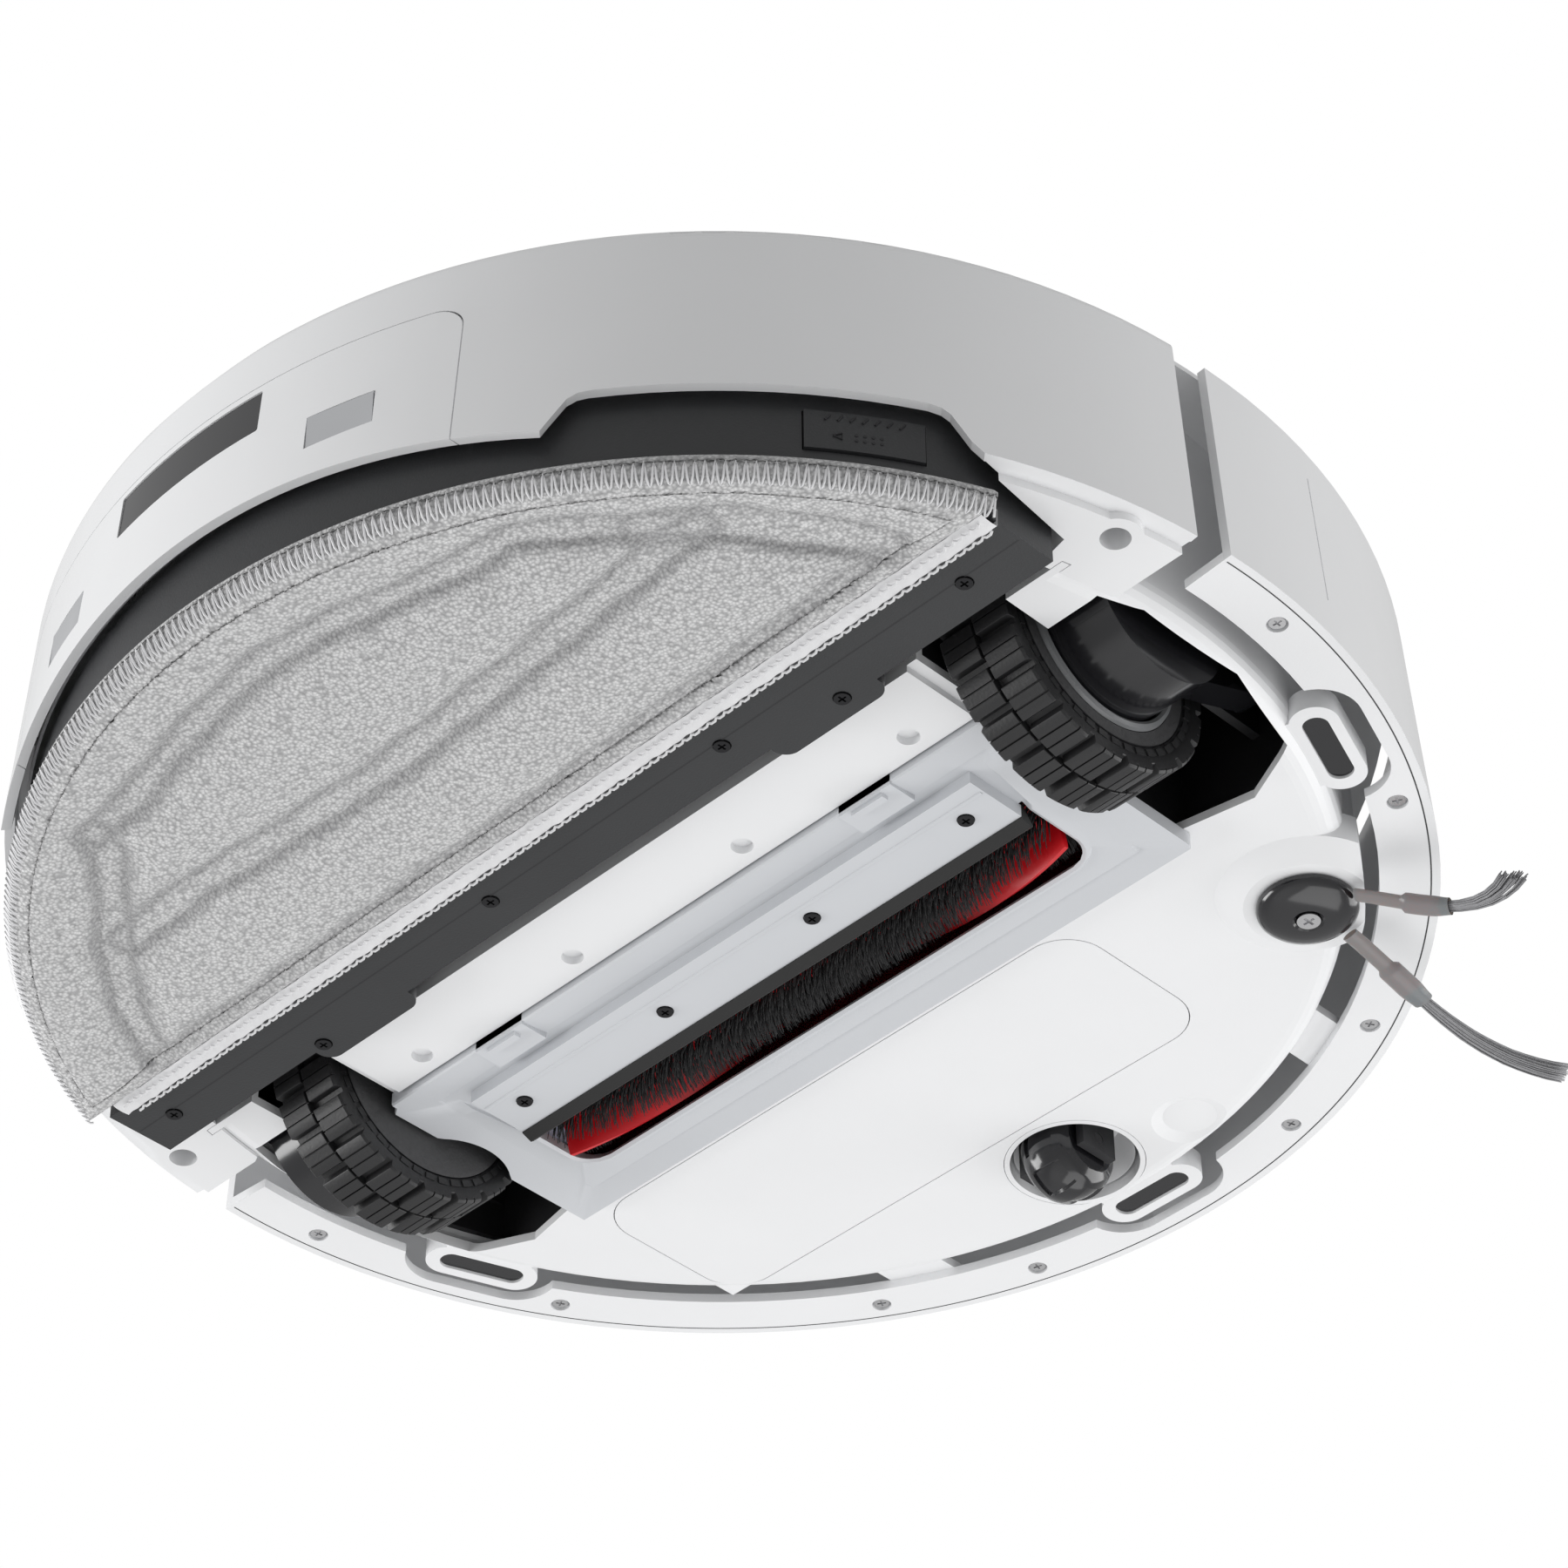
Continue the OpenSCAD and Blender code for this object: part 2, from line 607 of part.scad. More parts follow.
module brush_core() color([0.75, 0.05, 0.08]) placed() {
    translate([0, brush_y, brush_z]) {
        xcyl(-brush_l / 2, brush_l / 2, 9);
        xcyl(brush_l / 2 - 1, brush_l / 2 + 5, 3);
        xcyl(chamber_x0 - 4, -brush_l / 2 + 1, 4);
    }
    brush_rows(0, 3.4, 7, brush_r);
}

module brush_bristles() color(black) placed() brush_rows(60, 4.4, 8.8, brush_r - 0.5);

module brush_gearbox() color(charcoal) placed() difference() {
    union() {
        block([chamber_x0 - 9.5, brush_y - 13.5, floor_top + 0.3], [chamber_x0, brush_y + 13.5, 46]);
        translate([0, brush_y - 2, chamber_top - 14]) xcyl(chamber_x0 - 9.8, chamber_x0 - eps, 11);
    }
    translate([0, brush_y, brush_z]) xcyl(chamber_x0 - 4.4, chamber_x0 + 1, 4 + running);
}

// ---------- fan ----------

fan_x = 84;
fan_y = 78;
fan_r = 29;

module fan_housing() color(charcoal) placed() translate([fan_x, fan_y, tray_top]) difference() {
    cylinder(r = fan_r, h = 34);
    translate([0, 0, 16]) cylinder(r = fan_r - 2, h = 16);
    difference() {
        translate([0, 0, 2]) cylinder(r = fan_r - 2, h = 14.1);
        cylinder(r = 14, h = 15.5);
    }
    cylinder(r = 1.5 + running, h = 40);
    translate([0, 0, 30]) cylinder(r = 13, h = 6);
    block([-fan_r - 2, -9, 18], [-fan_r + 6, 9, 30]);
}

module fan_impeller() color(grey_white) placed() translate([fan_x, fan_y, tray_top]) {
    translate([0, 0, 5]) cylinder(r = 1.5, h = 14);
    translate([0, 0, 18]) cylinder(r = 24, h = 1.6);
    translate([0, 0, 19]) cylinder(r = 6, h = 9);
    for (i = [0:8]) rotate([0, 0, i * 40]) translate([5, 0, 19.5])
        rotate([0, 0, 25]) block([0, -0.7, 0], [17.5, 0.7, 8]);
}

// ---------- side brush ----------

side_motor_r = 11;
side_arm_deg_a = 190;
side_arm_deg_b = 260.5;
side_root = 13.1;

module side_brush_motor() color(charcoal) placed() translate([side_x, side_y, 0]) difference() {
    translate([0, 0, floor_top]) cylinder(r = side_motor_r, h = 32);
    translate([0, 0, belly_z]) cylinder(r = 3 + running, h = 13);
}

module side_brush_hub() color(black) placed() translate([side_x, side_y, 0]) {
    difference() {
        union() {
            rotate_extrude() polygon([
                [0, 3.6], [6, 3.8], [9.6, 4.5], [side_hub_r - 0.8, 5.6], [side_hub_r, 6.6],
                [side_hub_r, 8.2], [0, 8.2]
            ]);
            translate([0, 0, 8]) cylinder(r = 3, h = 16.6);
        }
        translate([0, 0, 3]) cylinder(r = 3.1, h = 2.2);
        translate([0, 0, 3]) cylinder(r = 1.45, h = 10.5);
    }
}

module side_brush_screw() color(steel) placed() translate([side_x, side_y, 0]) difference() {
    union() {
        translate([0, 0, 3.5]) cylinder(r = 2.9, h = 1.7);
        translate([0, 0, 5]) cylinder(r = 1.4, h = 8.3);
    }
    for (a = [0, 90]) rotate([0, 0, a]) block([-1.6, -0.35, 3], [1.6, 0.35, 4.3]);
}

// Curved centre line of an arm: it leaves the hub at the angle deg and bends by sweep
function arm_point(deg, sweep, reach, u) =
    let (d = side_root + (reach - side_root) * u, a = deg + sweep * u * (1 - u))
    [side_x + d * cos(a), side_y + d * sin(a), 5.6 - 2.4 * u - 9.6 * u * (2 - u) * 0.92];

module side_arm(deg, sweep, reach, sleeve) {
    path = [for (i = [0:10]) arm_point(deg, sweep, reach, sleeve * i / 10)];
    swept(path, [for (i = [0:10]) 2.9 + 0.6 * i / 10], [for (i = [0:10]) 1.5 + 0.3 * i / 10], 8);
}

module side_tuft(deg, sweep, reach, sleeve) {
    root = sleeve - 2 / (reach - side_root);
    path = [for (i = [0:6]) arm_point(deg, sweep, reach, root + (1 - root) * i / 6)];
    swept(path, [for (i = [0:6]) 2.8 + 1.6 * i / 6], [for (i = [0:6]) 1.3 - 0.5 * i / 6], 8);
}

module side_arm_a() color([0.5, 0.5, 0.52]) placed() side_arm(side_arm_deg_a, 55, side_reach_a, 0.5);
module side_tuft_a() color([0.6, 0.6, 0.62]) placed() side_tuft(side_arm_deg_a, 55, side_reach_a, 0.5);
module side_arm_b() color([0.5, 0.5, 0.52]) placed() side_arm(side_arm_deg_b, 25, side_reach_b, 0.36);
module side_tuft_b() color([0.6, 0.6, 0.62]) placed() side_tuft(side_arm_deg_b, 25, side_reach_b, 0.36);

// ---------- caster ----------

caster_x = 3;
socket_r = 16.8;
socket_rim = 18.2;
fork_r = 15.9;
fork_z = 2 * caster_r + 0.6;

module caster_socket() color(white) placed() translate([caster_x, caster_y, 0]) difference() {
    union() {
        translate([0, 0, belly_z]) cylinder(r = socket_rim, h = fork_z + 4.5 - belly_z);
        intersection() {
            translate([0, 0, floor_top]) cylinder(r = socket_rim + 3, h = 1.6);
            block([-30, -8, 0], [30, 8, 30]);
        }
        cylinder(r = 7, h = fork_z + 20);
    }
    cylinder(r = socket_r, h = fork_z + 3);
    cylinder(r = 3 + running, h = fork_z + 18);
}

module caster_fork() color(black) placed() translate([caster_x, caster_y, 0]) {
    difference() {
        union() {
            translate([0, 0, fork_z]) cylinder(r = fork_r, h = 2.7);
            translate([0, 0, fork_z]) cylinder(r = 3, h = 17);
            for (s = [-1, 1]) intersection() {
                block([s * 9.9 - 1.2, caster_trail - 6, caster_r - 4],
                    [s * 9.9 + 1.2, caster_trail + 6, fork_z + 1]);
                cylinder(r = fork_r, h = 60);
            }
        }
        translate([0, caster_trail, caster_r]) xcyl(-20, 20, 1.6 + running);
    }
}

module caster_wheel() color(black) placed()
    translate([caster_x, caster_y + caster_trail, caster_r]) rotate([0, 90, 0]) {
        rotate_extrude() intersection() {
            translate([caster_r - 20, 0]) circle(20);
            translate([0, -8]) square([caster_r, 16]);
        }
        translate([0, 0, -11]) cylinder(r = 1.6, h = 22);
    }

// ---------- cliff sensors, screws and switches ----------

module cliff_windows() color(black) placed() at_cliffs()
    translate([0, 0, 14.9]) linear_extrude(2.1) slot(23, 6);

// Screw with its head down at height z, on the part's underside
module screw(z, l) difference() {
    union() {
        translate([0, 0, z]) cylinder(r = 2, h = 1.4);
        translate([0, 0, z + 1.2]) cylinder(r = 1.3, h = l);
    }
    for (a = [0, 90]) rotate([0, 0, a]) block([-1.2, -0.25, z - 1], [1.2, 0.25, z + 0.7]);
}

module chassis_screws() color(steel) placed() {
    for (i = [-3:2:3]) translate([i * 25.5, -6, 0]) screw(5.5, 3.6);
    for (s = [-1, 1]) translate([s * plate_hole[0], plate_hole[1], 0]) screw(boss_head_z - 1.4, 7);
}

module bump_switches() color(charcoal) placed() for (s = [-1, 1])
    translate([s * tongue_x, tongue_end + bumper_travel + 0.8, floor_top]) block([-9, 0, 0], [9, 6, 12]);

// ---------- bumper ----------

ring_in = body_r - bumper_ring_w;
bumper_screw_deg = [15.4, 30.7, 60.6, 85.0];

module bumper_shell() color(white) placed() difference() {
    turn(180 - bumper_end_deg, 360 + bumper_end_deg) wall_strip(ring_z, deck_under - 1, shell_wall);
    for (a = [189, 351]) turn(a - 0.08, a + 0.08) wall_strip(27, 67, 1, -0.2);
}

module bumper_ring() color(white) placed() difference() {
    union() {
        turn(180 - bumper_end_deg, 360 + bumper_end_deg) polygon([
            [ring_in, ring_z], [wall_r(ring_z) - shell_wall, ring_z],
            [wall_r(ring_z + 2.6) - shell_wall, ring_z + 2.6], [ring_in, ring_z + 2.6]
        ]);
        both_sides() block([tongue_x - 8, -tub_r + 2, ring_z + 2.5], [tongue_x + 8, tongue_end, ring_z + 5]);
    }
    at_cliffs() translate([0, 0, 10]) linear_extrude(7.6) slot(42, 23);
    for (s = [-1, 1], a = bumper_screw_deg) rotate([0, 0, s * a]) translate([0, -body_r + 8, 0]) {
        translate([0, 0, 10]) cylinder(r = 1.35, h = 10);
        translate([0, 0, 10]) cylinder(r = 2.6, h = ring_z - 10 + 1.9);
    }
}

module bumper_screws() color(steel) placed() for (s = [-1, 1], a = bumper_screw_deg)
    rotate([0, 0, s * a]) translate([0, -body_r + 8, 0]) screw(ring_z + 0.5, 5);

// ---------- mop ----------

bracket_y = 46;
bracket_half = 152.5;
bracket_top = tray_z - 0.4;
bar_z = 4;
release_deg = 56.5;
release_r = body_r - 5.4;

// Outline of the mop mount, shrunk by g
module bracket_outline(g) intersection() {
    circle(body_r - 6 - g);
    translate([-bracket_half + g, bracket_y + g]) square([2 * (bracket_half - g), body_r]);
}

// Front edge lobes of the mop mount
module lobes() for (x = [-98, 62]) translate([x, 0]) rounded(0, 41, 34, 56, 4);

module release_pocket(g) block([-13.9 + g, release_r - 14 + g, 12 + g], [13.9 - g, release_r + 4, 24 - g]);

module at_release(s) rotate([0, 0, s * release_deg]) children();

mop_screw_at = [[-134, 55], [-88, 47], [-57, 55], [22, 55], [92, 47], [140, 55]];

module mop_bracket() color(charcoal) placed() difference() {
    union() {
        difference() {
            translate([0, 0, pad_t]) linear_extrude(bracket_top - pad_t) bracket_outline(0);
            translate([0, 0, pad_t + 2.4]) linear_extrude(20) bracket_outline(2.4);
        }
        translate([0, 0, bar_z]) linear_extrude(pad_t + 3 - bar_z) intersection() {
            bracket_outline(0);
            translate([-body_r, 0]) square([body_r * 2, pad_y - 0.4]);
        }
        translate([0, 0, bar_z]) linear_extrude(7) lobes();
        for (s = [-1, 1]) {
            translate([s * 60, 90, pad_t]) cylinder(r = 6, h = tray_z - pad_t);
            intersection() {
                at_release(-s) block([-16, release_r - 16, pad_t], [16, release_r + 4, bracket_top]);
                translate([0, 0, pad_t]) linear_extrude(20) bracket_outline(1.2);
            }
        }
    }
    for (s = [-1, 1]) at_release(s) release_pocket(0);
    for (p = mop_screw_at) translate([p[0], p[1], bar_z - 1]) {
        cylinder(r = 2.25, h = 2);
        cylinder(r = 1.35, h = 6.5);
    }
}

module mop_pad() color([0.78, 0.78, 0.78]) placed() linear_extrude(pad_t) intersection() {
    circle(body_r - pad_inset);
    translate([-body_r, pad_y]) square([body_d, body_r]);
}

module mop_screws() color(black) placed() for (p = mop_screw_at) translate([p[0], p[1], 0])
    screw(bar_z - 0.4, 4);

module release(s) color(charcoal) placed() intersection() {
    at_release(s) block([-13.6, release_r - 10, 12.3], [13.6, release_r + 4, 23.7]);
    cylinder(r = body_r - 5.2, h = 40, $fn = 256);
}
module release_left() release(-1);
module release_right() release(1);

// ---------- lidar turret and buttons ----------

module lidar_base() color(charcoal) placed() translate([0, lidar_y, 0]) difference() {
    union() {
        translate([0, 0, deck_z]) cylinder(r = lidar_r, h = 3);
        translate([0, 0, deck_z - 14]) cylinder(r = lidar_r - 8.2, h = 14.1);
        translate([0, 0, deck_z - 20]) cylinder(r = 9, h = 8);
    }
    translate([0, 0, deck_z - 11.6]) cylinder(r = lidar_r - 11, h = 20);
    translate([0, 0, deck_z - 19]) cylinder(r = 3 + running, h = 20);
    for (i = [0:2]) rotate([0, 0, 30 + i * 120]) translate([lidar_r - 4, 0, deck_z - eps])
        cylinder(r = 1.85, h = 10);
}

module lidar_rotor() color(black) placed() translate([0, lidar_y, 0]) difference() {
    union() {
        translate([0, 0, deck_z - 10.6]) cylinder(r = lidar_r - 13, h = 10.6 + turret_h - 4.6);
        translate([0, 0, deck_z - 18.6]) cylinder(r = 3, h = 9);
    }
    block([-14, -lidar_r + 8, deck_z + 3], [14, -lidar_r + 18, deck_z + turret_h - 6]);
}

module lidar_cap() color(white) placed() translate([0, lidar_y, 0]) {
    rotate_extrude() polygon([
        [0, deck_z + turret_h - 3], [lidar_r - 1.6, deck_z + turret_h - 3],
        [lidar_r - 1.6, deck_z + turret_h - 1.6], [lidar_r - 3, deck_z + turret_h], [0, deck_z + turret_h]
    ]);
    for (i = [0:2]) rotate([0, 0, 30 + i * 120]) translate([lidar_r - 4, 0, deck_z + 1.5])
        cylinder(r = 1.5, h = turret_h - 4);
}

module deck_button(s) color(grey_white) placed() translate([s * button_x, button_y, 0]) {
    translate([0, 0, deck_under - 0.4]) cylinder(r = button_r, h = deck_t + 0.6);
    translate([0, 0, deck_under - 1.9]) cylinder(r = button_r + 1.6, h = 1.6);
    translate([0, 0, deck_under - 7]) cylinder(r = 2, h = 6);
}
module power_button() deck_button(-1);
module home_button() deck_button(1);

// ---------- lid, dustbin and tank ----------

bin_x0 = -120;
bin_x1 = 50;
bin_split = 108;
bin_top = 75;
bin_r = body_r - 27;

module lid() color(white) placed() difference() {
    union() {
        difference() {
            translate([0, 0, deck_under + 0.3]) cylinder(r = rim_in - seam - 0.2, h = deck_t - 0.3);
            block([-body_r, -body_r, 0], [body_r, lid_y, deck_z + 1]);
        }
        translate([0, lid_y, deck_z - 1.9]) xcyl(-149.9, 149.9, 1.85);
        translate([0, lid_y, deck_z - 1.9]) xcyl(-154, 154, 1.2);
    }
    both_sides() difference() {
        block([149.9, lid_y - 5, 0], [body_r, lid_y + 3, deck_z + 1]);
        translate([0, lid_y, deck_z - 1.9]) xcyl(149, 154, 1.2);
    }
}

module bin_box(g, y0, y1, z0, z1) intersection() {
    cylinder(r = bin_r - g, h = deck_z);
    block([bin_x0 + g, y0, z0], [bin_x1 - g, y1, z1]);
}

module dustbin() color([0.35, 0.36, 0.4]) placed() difference() {
    bin_box(0, bin_front, bin_split, tray_top, bin_top);
    bin_box(1.6, bin_front + 1.6, bin_split - 1.6, tray_top + 1.6, bin_top - 1.6);
    block([-duct_half + 2, bin_front - 1, duct_z0 + 2], [duct_half - 2, bin_front + 3, duct_z1 - 2]);
    block([bin_x1 - 3, 66, 52], [bin_x1 + 1, 90, 66]);
    block([-60, 70, bin_top - 0.8], [0, 92, bin_top + 1]);
}

module bin_filter() color([0.9, 0.9, 0.86]) placed()
    block([bin_x1 - 8, 58, 46], [bin_x1 - 1.6, 100, bin_top - 1.6]);

module water_tank() color([0.7, 0.78, 0.85]) placed() difference() {
    bin_box(0, bin_split, body_r, tray_top, bin_top);
    bin_box(1.8, bin_split + 1.8, body_r, tray_top + 1.8, bin_top - 1.8);
    translate([-70, bin_split + 16, bin_top - 3]) cylinder(r = 5, h = 4);
}
bottom_chassis();
side_shell();
top_deck();
dock_panel();
charge_contacts();
ir_window();
battery_cover();
battery_pack();
main_board();
fan_housing();
fan_impeller();
brush_chamber();
brush_guard();
scraper_bar();
scraper_blade();
brush_bearing();
brush_gearbox();
side_brush_motor();
caster_socket();
cliff_windows();
chassis_screws();
wheel_liners();
bump_switches();
lidar_base();
lidar_rotor();
lidar_cap();
latch_left();
latch_right();
brush_core();
brush_bristles();
side_brush_hub();
side_brush_screw();
side_arm_a();
side_tuft_a();
side_arm_b();
side_tuft_b();
drive_arm_left();
drive_arm_right();
wheel_hub_left();
wheel_hub_right();
tyre_left();
tyre_right();
wheel_spring_left();
wheel_spring_right();
caster_fork();
caster_wheel();
bumper_shell();
bumper_ring();
bumper_screws();
mop_bracket();
mop_pad();
mop_screws();
release_left();
release_right();
lid();
dustbin();
bin_filter();
water_tank();
power_button();
home_button();
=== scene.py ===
import json
import math

import bpy
import numpy as np
from mathutils import Matrix, Vector


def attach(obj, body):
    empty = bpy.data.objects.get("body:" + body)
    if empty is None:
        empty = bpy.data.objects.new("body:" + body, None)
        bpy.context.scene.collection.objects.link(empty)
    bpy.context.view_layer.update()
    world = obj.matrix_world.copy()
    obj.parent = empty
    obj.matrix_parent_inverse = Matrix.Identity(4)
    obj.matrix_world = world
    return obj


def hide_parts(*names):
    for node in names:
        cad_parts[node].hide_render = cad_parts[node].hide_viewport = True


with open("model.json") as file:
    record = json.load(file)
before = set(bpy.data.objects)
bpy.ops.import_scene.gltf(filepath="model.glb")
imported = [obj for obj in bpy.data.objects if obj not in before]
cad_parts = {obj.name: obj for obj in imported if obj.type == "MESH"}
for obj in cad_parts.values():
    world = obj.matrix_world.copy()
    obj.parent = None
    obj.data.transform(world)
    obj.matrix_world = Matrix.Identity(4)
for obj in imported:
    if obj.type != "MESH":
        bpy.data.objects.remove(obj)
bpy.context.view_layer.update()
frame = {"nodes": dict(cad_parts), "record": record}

MM = 0.001
LIFT = 9.0  # the working floor of the drawing lies this far above the frame's origin, in mm
nodes = frame["nodes"]


# ---------- camera and light ----------

CAMERA_AT = (-0.6750, 0.6554, -0.7380)
CAMERA_AIM = (-0.02784, 0.00555, 0.049)
CAMERA_ROLL = -0.46  # degrees
CAMERA_LENS = 114.1  # mm
CAMERA_SENSOR = 36  # mm


def place_camera():
    """The camera looks up at the belly from behind and starboard."""
    eye = Vector(CAMERA_AT)
    back = (eye - Vector(CAMERA_AIM)).normalized()
    right = Vector((0, 0, 1)).cross(back).normalized()
    up = back.cross(right)
    roll = math.radians(CAMERA_ROLL)
    rolled_right = right * math.cos(roll) + up * math.sin(roll)
    rolled_up = up * math.cos(roll) - right * math.sin(roll)
    data = bpy.data.cameras.new("camera")
    data.lens = CAMERA_LENS
    data.sensor_width = CAMERA_SENSOR
    data.clip_end = 20
    camera = bpy.data.objects.new("camera", data)
    turn = Matrix((rolled_right, rolled_up, back)).transposed().to_4x4()
    turn.translation = eye
    camera.matrix_world = turn
    bpy.context.scene.collection.objects.link(camera)
    bpy.context.scene.camera = camera


def area_light(name, at, aim, size, power):
    data = bpy.data.lights.new(name, "AREA")
    data.shape = "RECTANGLE"
    data.size, data.size_y = size
    data.energy = power
    lamp = bpy.data.objects.new(name, data)
    lamp.location = at
    lamp.rotation_euler = (Vector(aim) - Vector(at)).to_track_quat("-Z", "Y").to_euler()
    bpy.context.scene.collection.objects.link(lamp)


WORLD_LIGHT = 0.5  # the camera sees the sky at 1, the part is lit by less
FLOOR_HALF = 6.0
FLOOR_Z = -1.6
# name, where it stands, what it points at, size, power in W
LAMPS = [
    ("from_below", (-0.2, -0.5, -1.3), (0, 0, 0), (1.2, 1.2), 5.5),
    ("from_rear_port", (1.3, 1.1, -0.1), (0, 0, 0.05), (0.9, 1.2), 24),
    ("from_front", (-0.9, -1.4, -0.3), (0, 0, 0.05), (1.2, 1.2), 14),
]


def light_world(scene):
    world = bpy.data.worlds.new("studio")
    scene.world = world
    world.use_nodes = True
    tree = world.node_tree
    back = tree.nodes["Background"]
    back.inputs["Color"].default_value = (1, 1, 1, 1)
    path = tree.nodes.new("ShaderNodeLightPath")
    level = tree.nodes.new("ShaderNodeMapRange")
    level.inputs["To Min"].default_value = WORLD_LIGHT
    level.inputs["To Max"].default_value = 1.0
    tree.links.new(path.outputs["Is Camera Ray"], level.inputs["Value"])
    tree.links.new(level.outputs["Result"], back.inputs["Strength"])


def lay_floor(scene):
    floor_mat = bpy.data.materials.new("studio_floor")
    floor_mat.use_nodes = True
    shader = floor_mat.node_tree.nodes["Principled BSDF"]
    shader.inputs["Base Color"].default_value = (0.93, 0.93, 0.93, 1)
    shader.inputs["Roughness"].default_value = 0.9
    mesh = bpy.data.meshes.new("studio_floor")
    corners = [(x * FLOOR_HALF, y * FLOOR_HALF, FLOOR_Z) for x, y in ((-1, -1), (1, -1), (1, 1), (-1, 1))]
    mesh.from_pydata(corners, [], [(0, 1, 2, 3)])
    mesh.materials.append(floor_mat)
    floor = bpy.data.objects.new("studio_floor", mesh)
    scene.collection.objects.link(floor)


def build_studio():
    scene = bpy.context.scene
    scene.view_settings.view_transform = "Standard"
    light_world(scene)
    lay_floor(scene)
    for lamp in LAMPS:
        area_light(*lamp)


place_camera()
build_studio()


# ---------- materials ----------

COAT_ROUGH = 0.12


def material(name, colour, rough=0.4, metal=0.0, spec=0.5, coat=0.0, bump=0.0, bump_size=0.002,
             mottle=0.06, mottle_size=0.02, rough_var=0.08, trans=0.0, sss=0.0):
    """A shader whose colour and roughness drift over the piece, with a fine bump if asked for."""
    m = bpy.data.materials.new(name)
    m.use_nodes = True
    tree = m.node_tree
    n = tree.nodes
    link = tree.links.new
    p = n["Principled BSDF"]
    p.inputs["Metallic"].default_value = metal
    p.inputs["Specular IOR Level"].default_value = spec
    p.inputs["Coat Weight"].default_value = coat
    p.inputs["Coat Roughness"].default_value = COAT_ROUGH
    p.inputs["Transmission Weight"].default_value = trans
    p.inputs["Subsurface Weight"].default_value = sss
    where = n.new("ShaderNodeTexCoord")
    blotch = n.new("ShaderNodeTexNoise")
    blotch.inputs["Scale"].default_value = 1 / mottle_size
    blotch.inputs["Detail"].default_value = 4
    link(where.outputs["Object"], blotch.inputs["Vector"])
    ramp = n.new("ShaderNodeMix")
    ramp.data_type = "RGBA"
    dark = [c * (1 - mottle) for c in colour]
    light = [min(c * (1 + mottle), 1) for c in colour]
    ramp.inputs["A"].default_value = (*dark, 1)
    ramp.inputs["B"].default_value = (*light, 1)
    link(blotch.outputs["Fac"], ramp.inputs["Factor"])
    link(ramp.outputs["Result"], p.inputs["Base Color"])
    spread = n.new("ShaderNodeMapRange")
    spread.inputs["To Min"].default_value = max(rough - rough_var, 0.02)
    spread.inputs["To Max"].default_value = rough + rough_var
    link(blotch.outputs["Fac"], spread.inputs["Value"])
    link(spread.outputs["Result"], p.inputs["Roughness"])
    if bump:
        grain = n.new("ShaderNodeTexNoise")
        grain.inputs["Scale"].default_value = 1 / bump_size
        grain.inputs["Detail"].default_value = 3
        link(where.outputs["Object"], grain.inputs["Vector"])
        lump = n.new("ShaderNodeBump")
        lump.inputs["Strength"].default_value = bump
        lump.inputs["Distance"].default_value = bump_size * 0.3
        link(grain.outputs["Fac"], lump.inputs["Height"])
        link(lump.outputs["Normal"], p.inputs["Normal"])
    return m


def terry():
    """Looped cloth: small bright loops with painted shade on the ground between them, and more painted shade
    along the sewn creases.
    """
    m = bpy.data.materials.new("mop_cloth")
    m.use_nodes = True
    n = m.node_tree.nodes
    link = m.node_tree.links.new
    p = n["Principled BSDF"]
    p.inputs["Roughness"].default_value = 0.95
    p.inputs["Specular IOR Level"].default_value = 0.15
    p.inputs["Sheen Weight"].default_value = 0.25
    p.inputs["Sheen Roughness"].default_value = 0.6
    where = n.new("ShaderNodeTexCoord")
    loops = n.new("ShaderNodeTexVoronoi")
    loops.inputs["Scale"].default_value = 1050
    link(where.outputs["Object"], loops.inputs["Vector"])
    blotch = n.new("ShaderNodeTexNoise")
    blotch.inputs["Scale"].default_value = 420
    blotch.inputs["Detail"].default_value = 5
    link(where.outputs["Object"], blotch.inputs["Vector"])
    # painted shade between the loops: bright on each loop's top, darker on the ground between loops
    loop_shade_ramp = n.new("ShaderNodeValToRGB")
    loop_shade_ramp.color_ramp.elements[0].position = 0.05
    loop_shade_ramp.color_ramp.elements[0].color = (0.9, 0.9, 0.9, 1)
    loop_shade_ramp.color_ramp.elements[1].position = 0.75
    loop_shade_ramp.color_ramp.elements[1].color = (0.44, 0.44, 0.445, 1)
    link(loops.outputs["Distance"], loop_shade_ramp.inputs["Fac"])
    vary = n.new("ShaderNodeMix")
    vary.data_type = "RGBA"
    vary.blend_type = "MULTIPLY"
    vary.inputs["Factor"].default_value = 0.8
    level = n.new("ShaderNodeValToRGB")
    level.color_ramp.elements[0].position = 0.3
    level.color_ramp.elements[0].color = (0.74, 0.74, 0.74, 1)
    level.color_ramp.elements[1].position = 0.7
    level.color_ramp.elements[1].color = (1, 1, 1, 1)
    link(blotch.outputs["Fac"], level.inputs["Fac"])
    link(loop_shade_ramp.outputs["Color"], vary.inputs["A"])
    link(level.outputs["Color"], vary.inputs["B"])
    # painted shade along the sewn creases: the colour is pulled towards this dark grey where the stored
    # shade is high
    painted_crease_shade = n.new("ShaderNodeAttribute")
    painted_crease_shade.attribute_name = "painted_crease_shade"
    painted_shade_mix = n.new("ShaderNodeMix")
    painted_shade_mix.data_type = "RGBA"
    painted_shade_mix.inputs["B"].default_value = (0.2, 0.2, 0.205, 1)
    soften = n.new("ShaderNodeMath")
    soften.operation = "MULTIPLY"
    soften.inputs[1].default_value = 0.5
    link(painted_crease_shade.outputs["Fac"], soften.inputs[0])
    link(soften.outputs[0], painted_shade_mix.inputs["Factor"])
    link(vary.outputs["Result"], painted_shade_mix.inputs["A"])
    link(painted_shade_mix.outputs["Result"], p.inputs["Base Color"])
    lump = n.new("ShaderNodeBump")
    lump.invert = True
    lump.inputs["Strength"].default_value = 0.9
    lump.inputs["Distance"].default_value = 0.0006
    link(loops.outputs["Distance"], lump.inputs["Height"])
    link(lump.outputs["Normal"], p.inputs["Normal"])
    return m


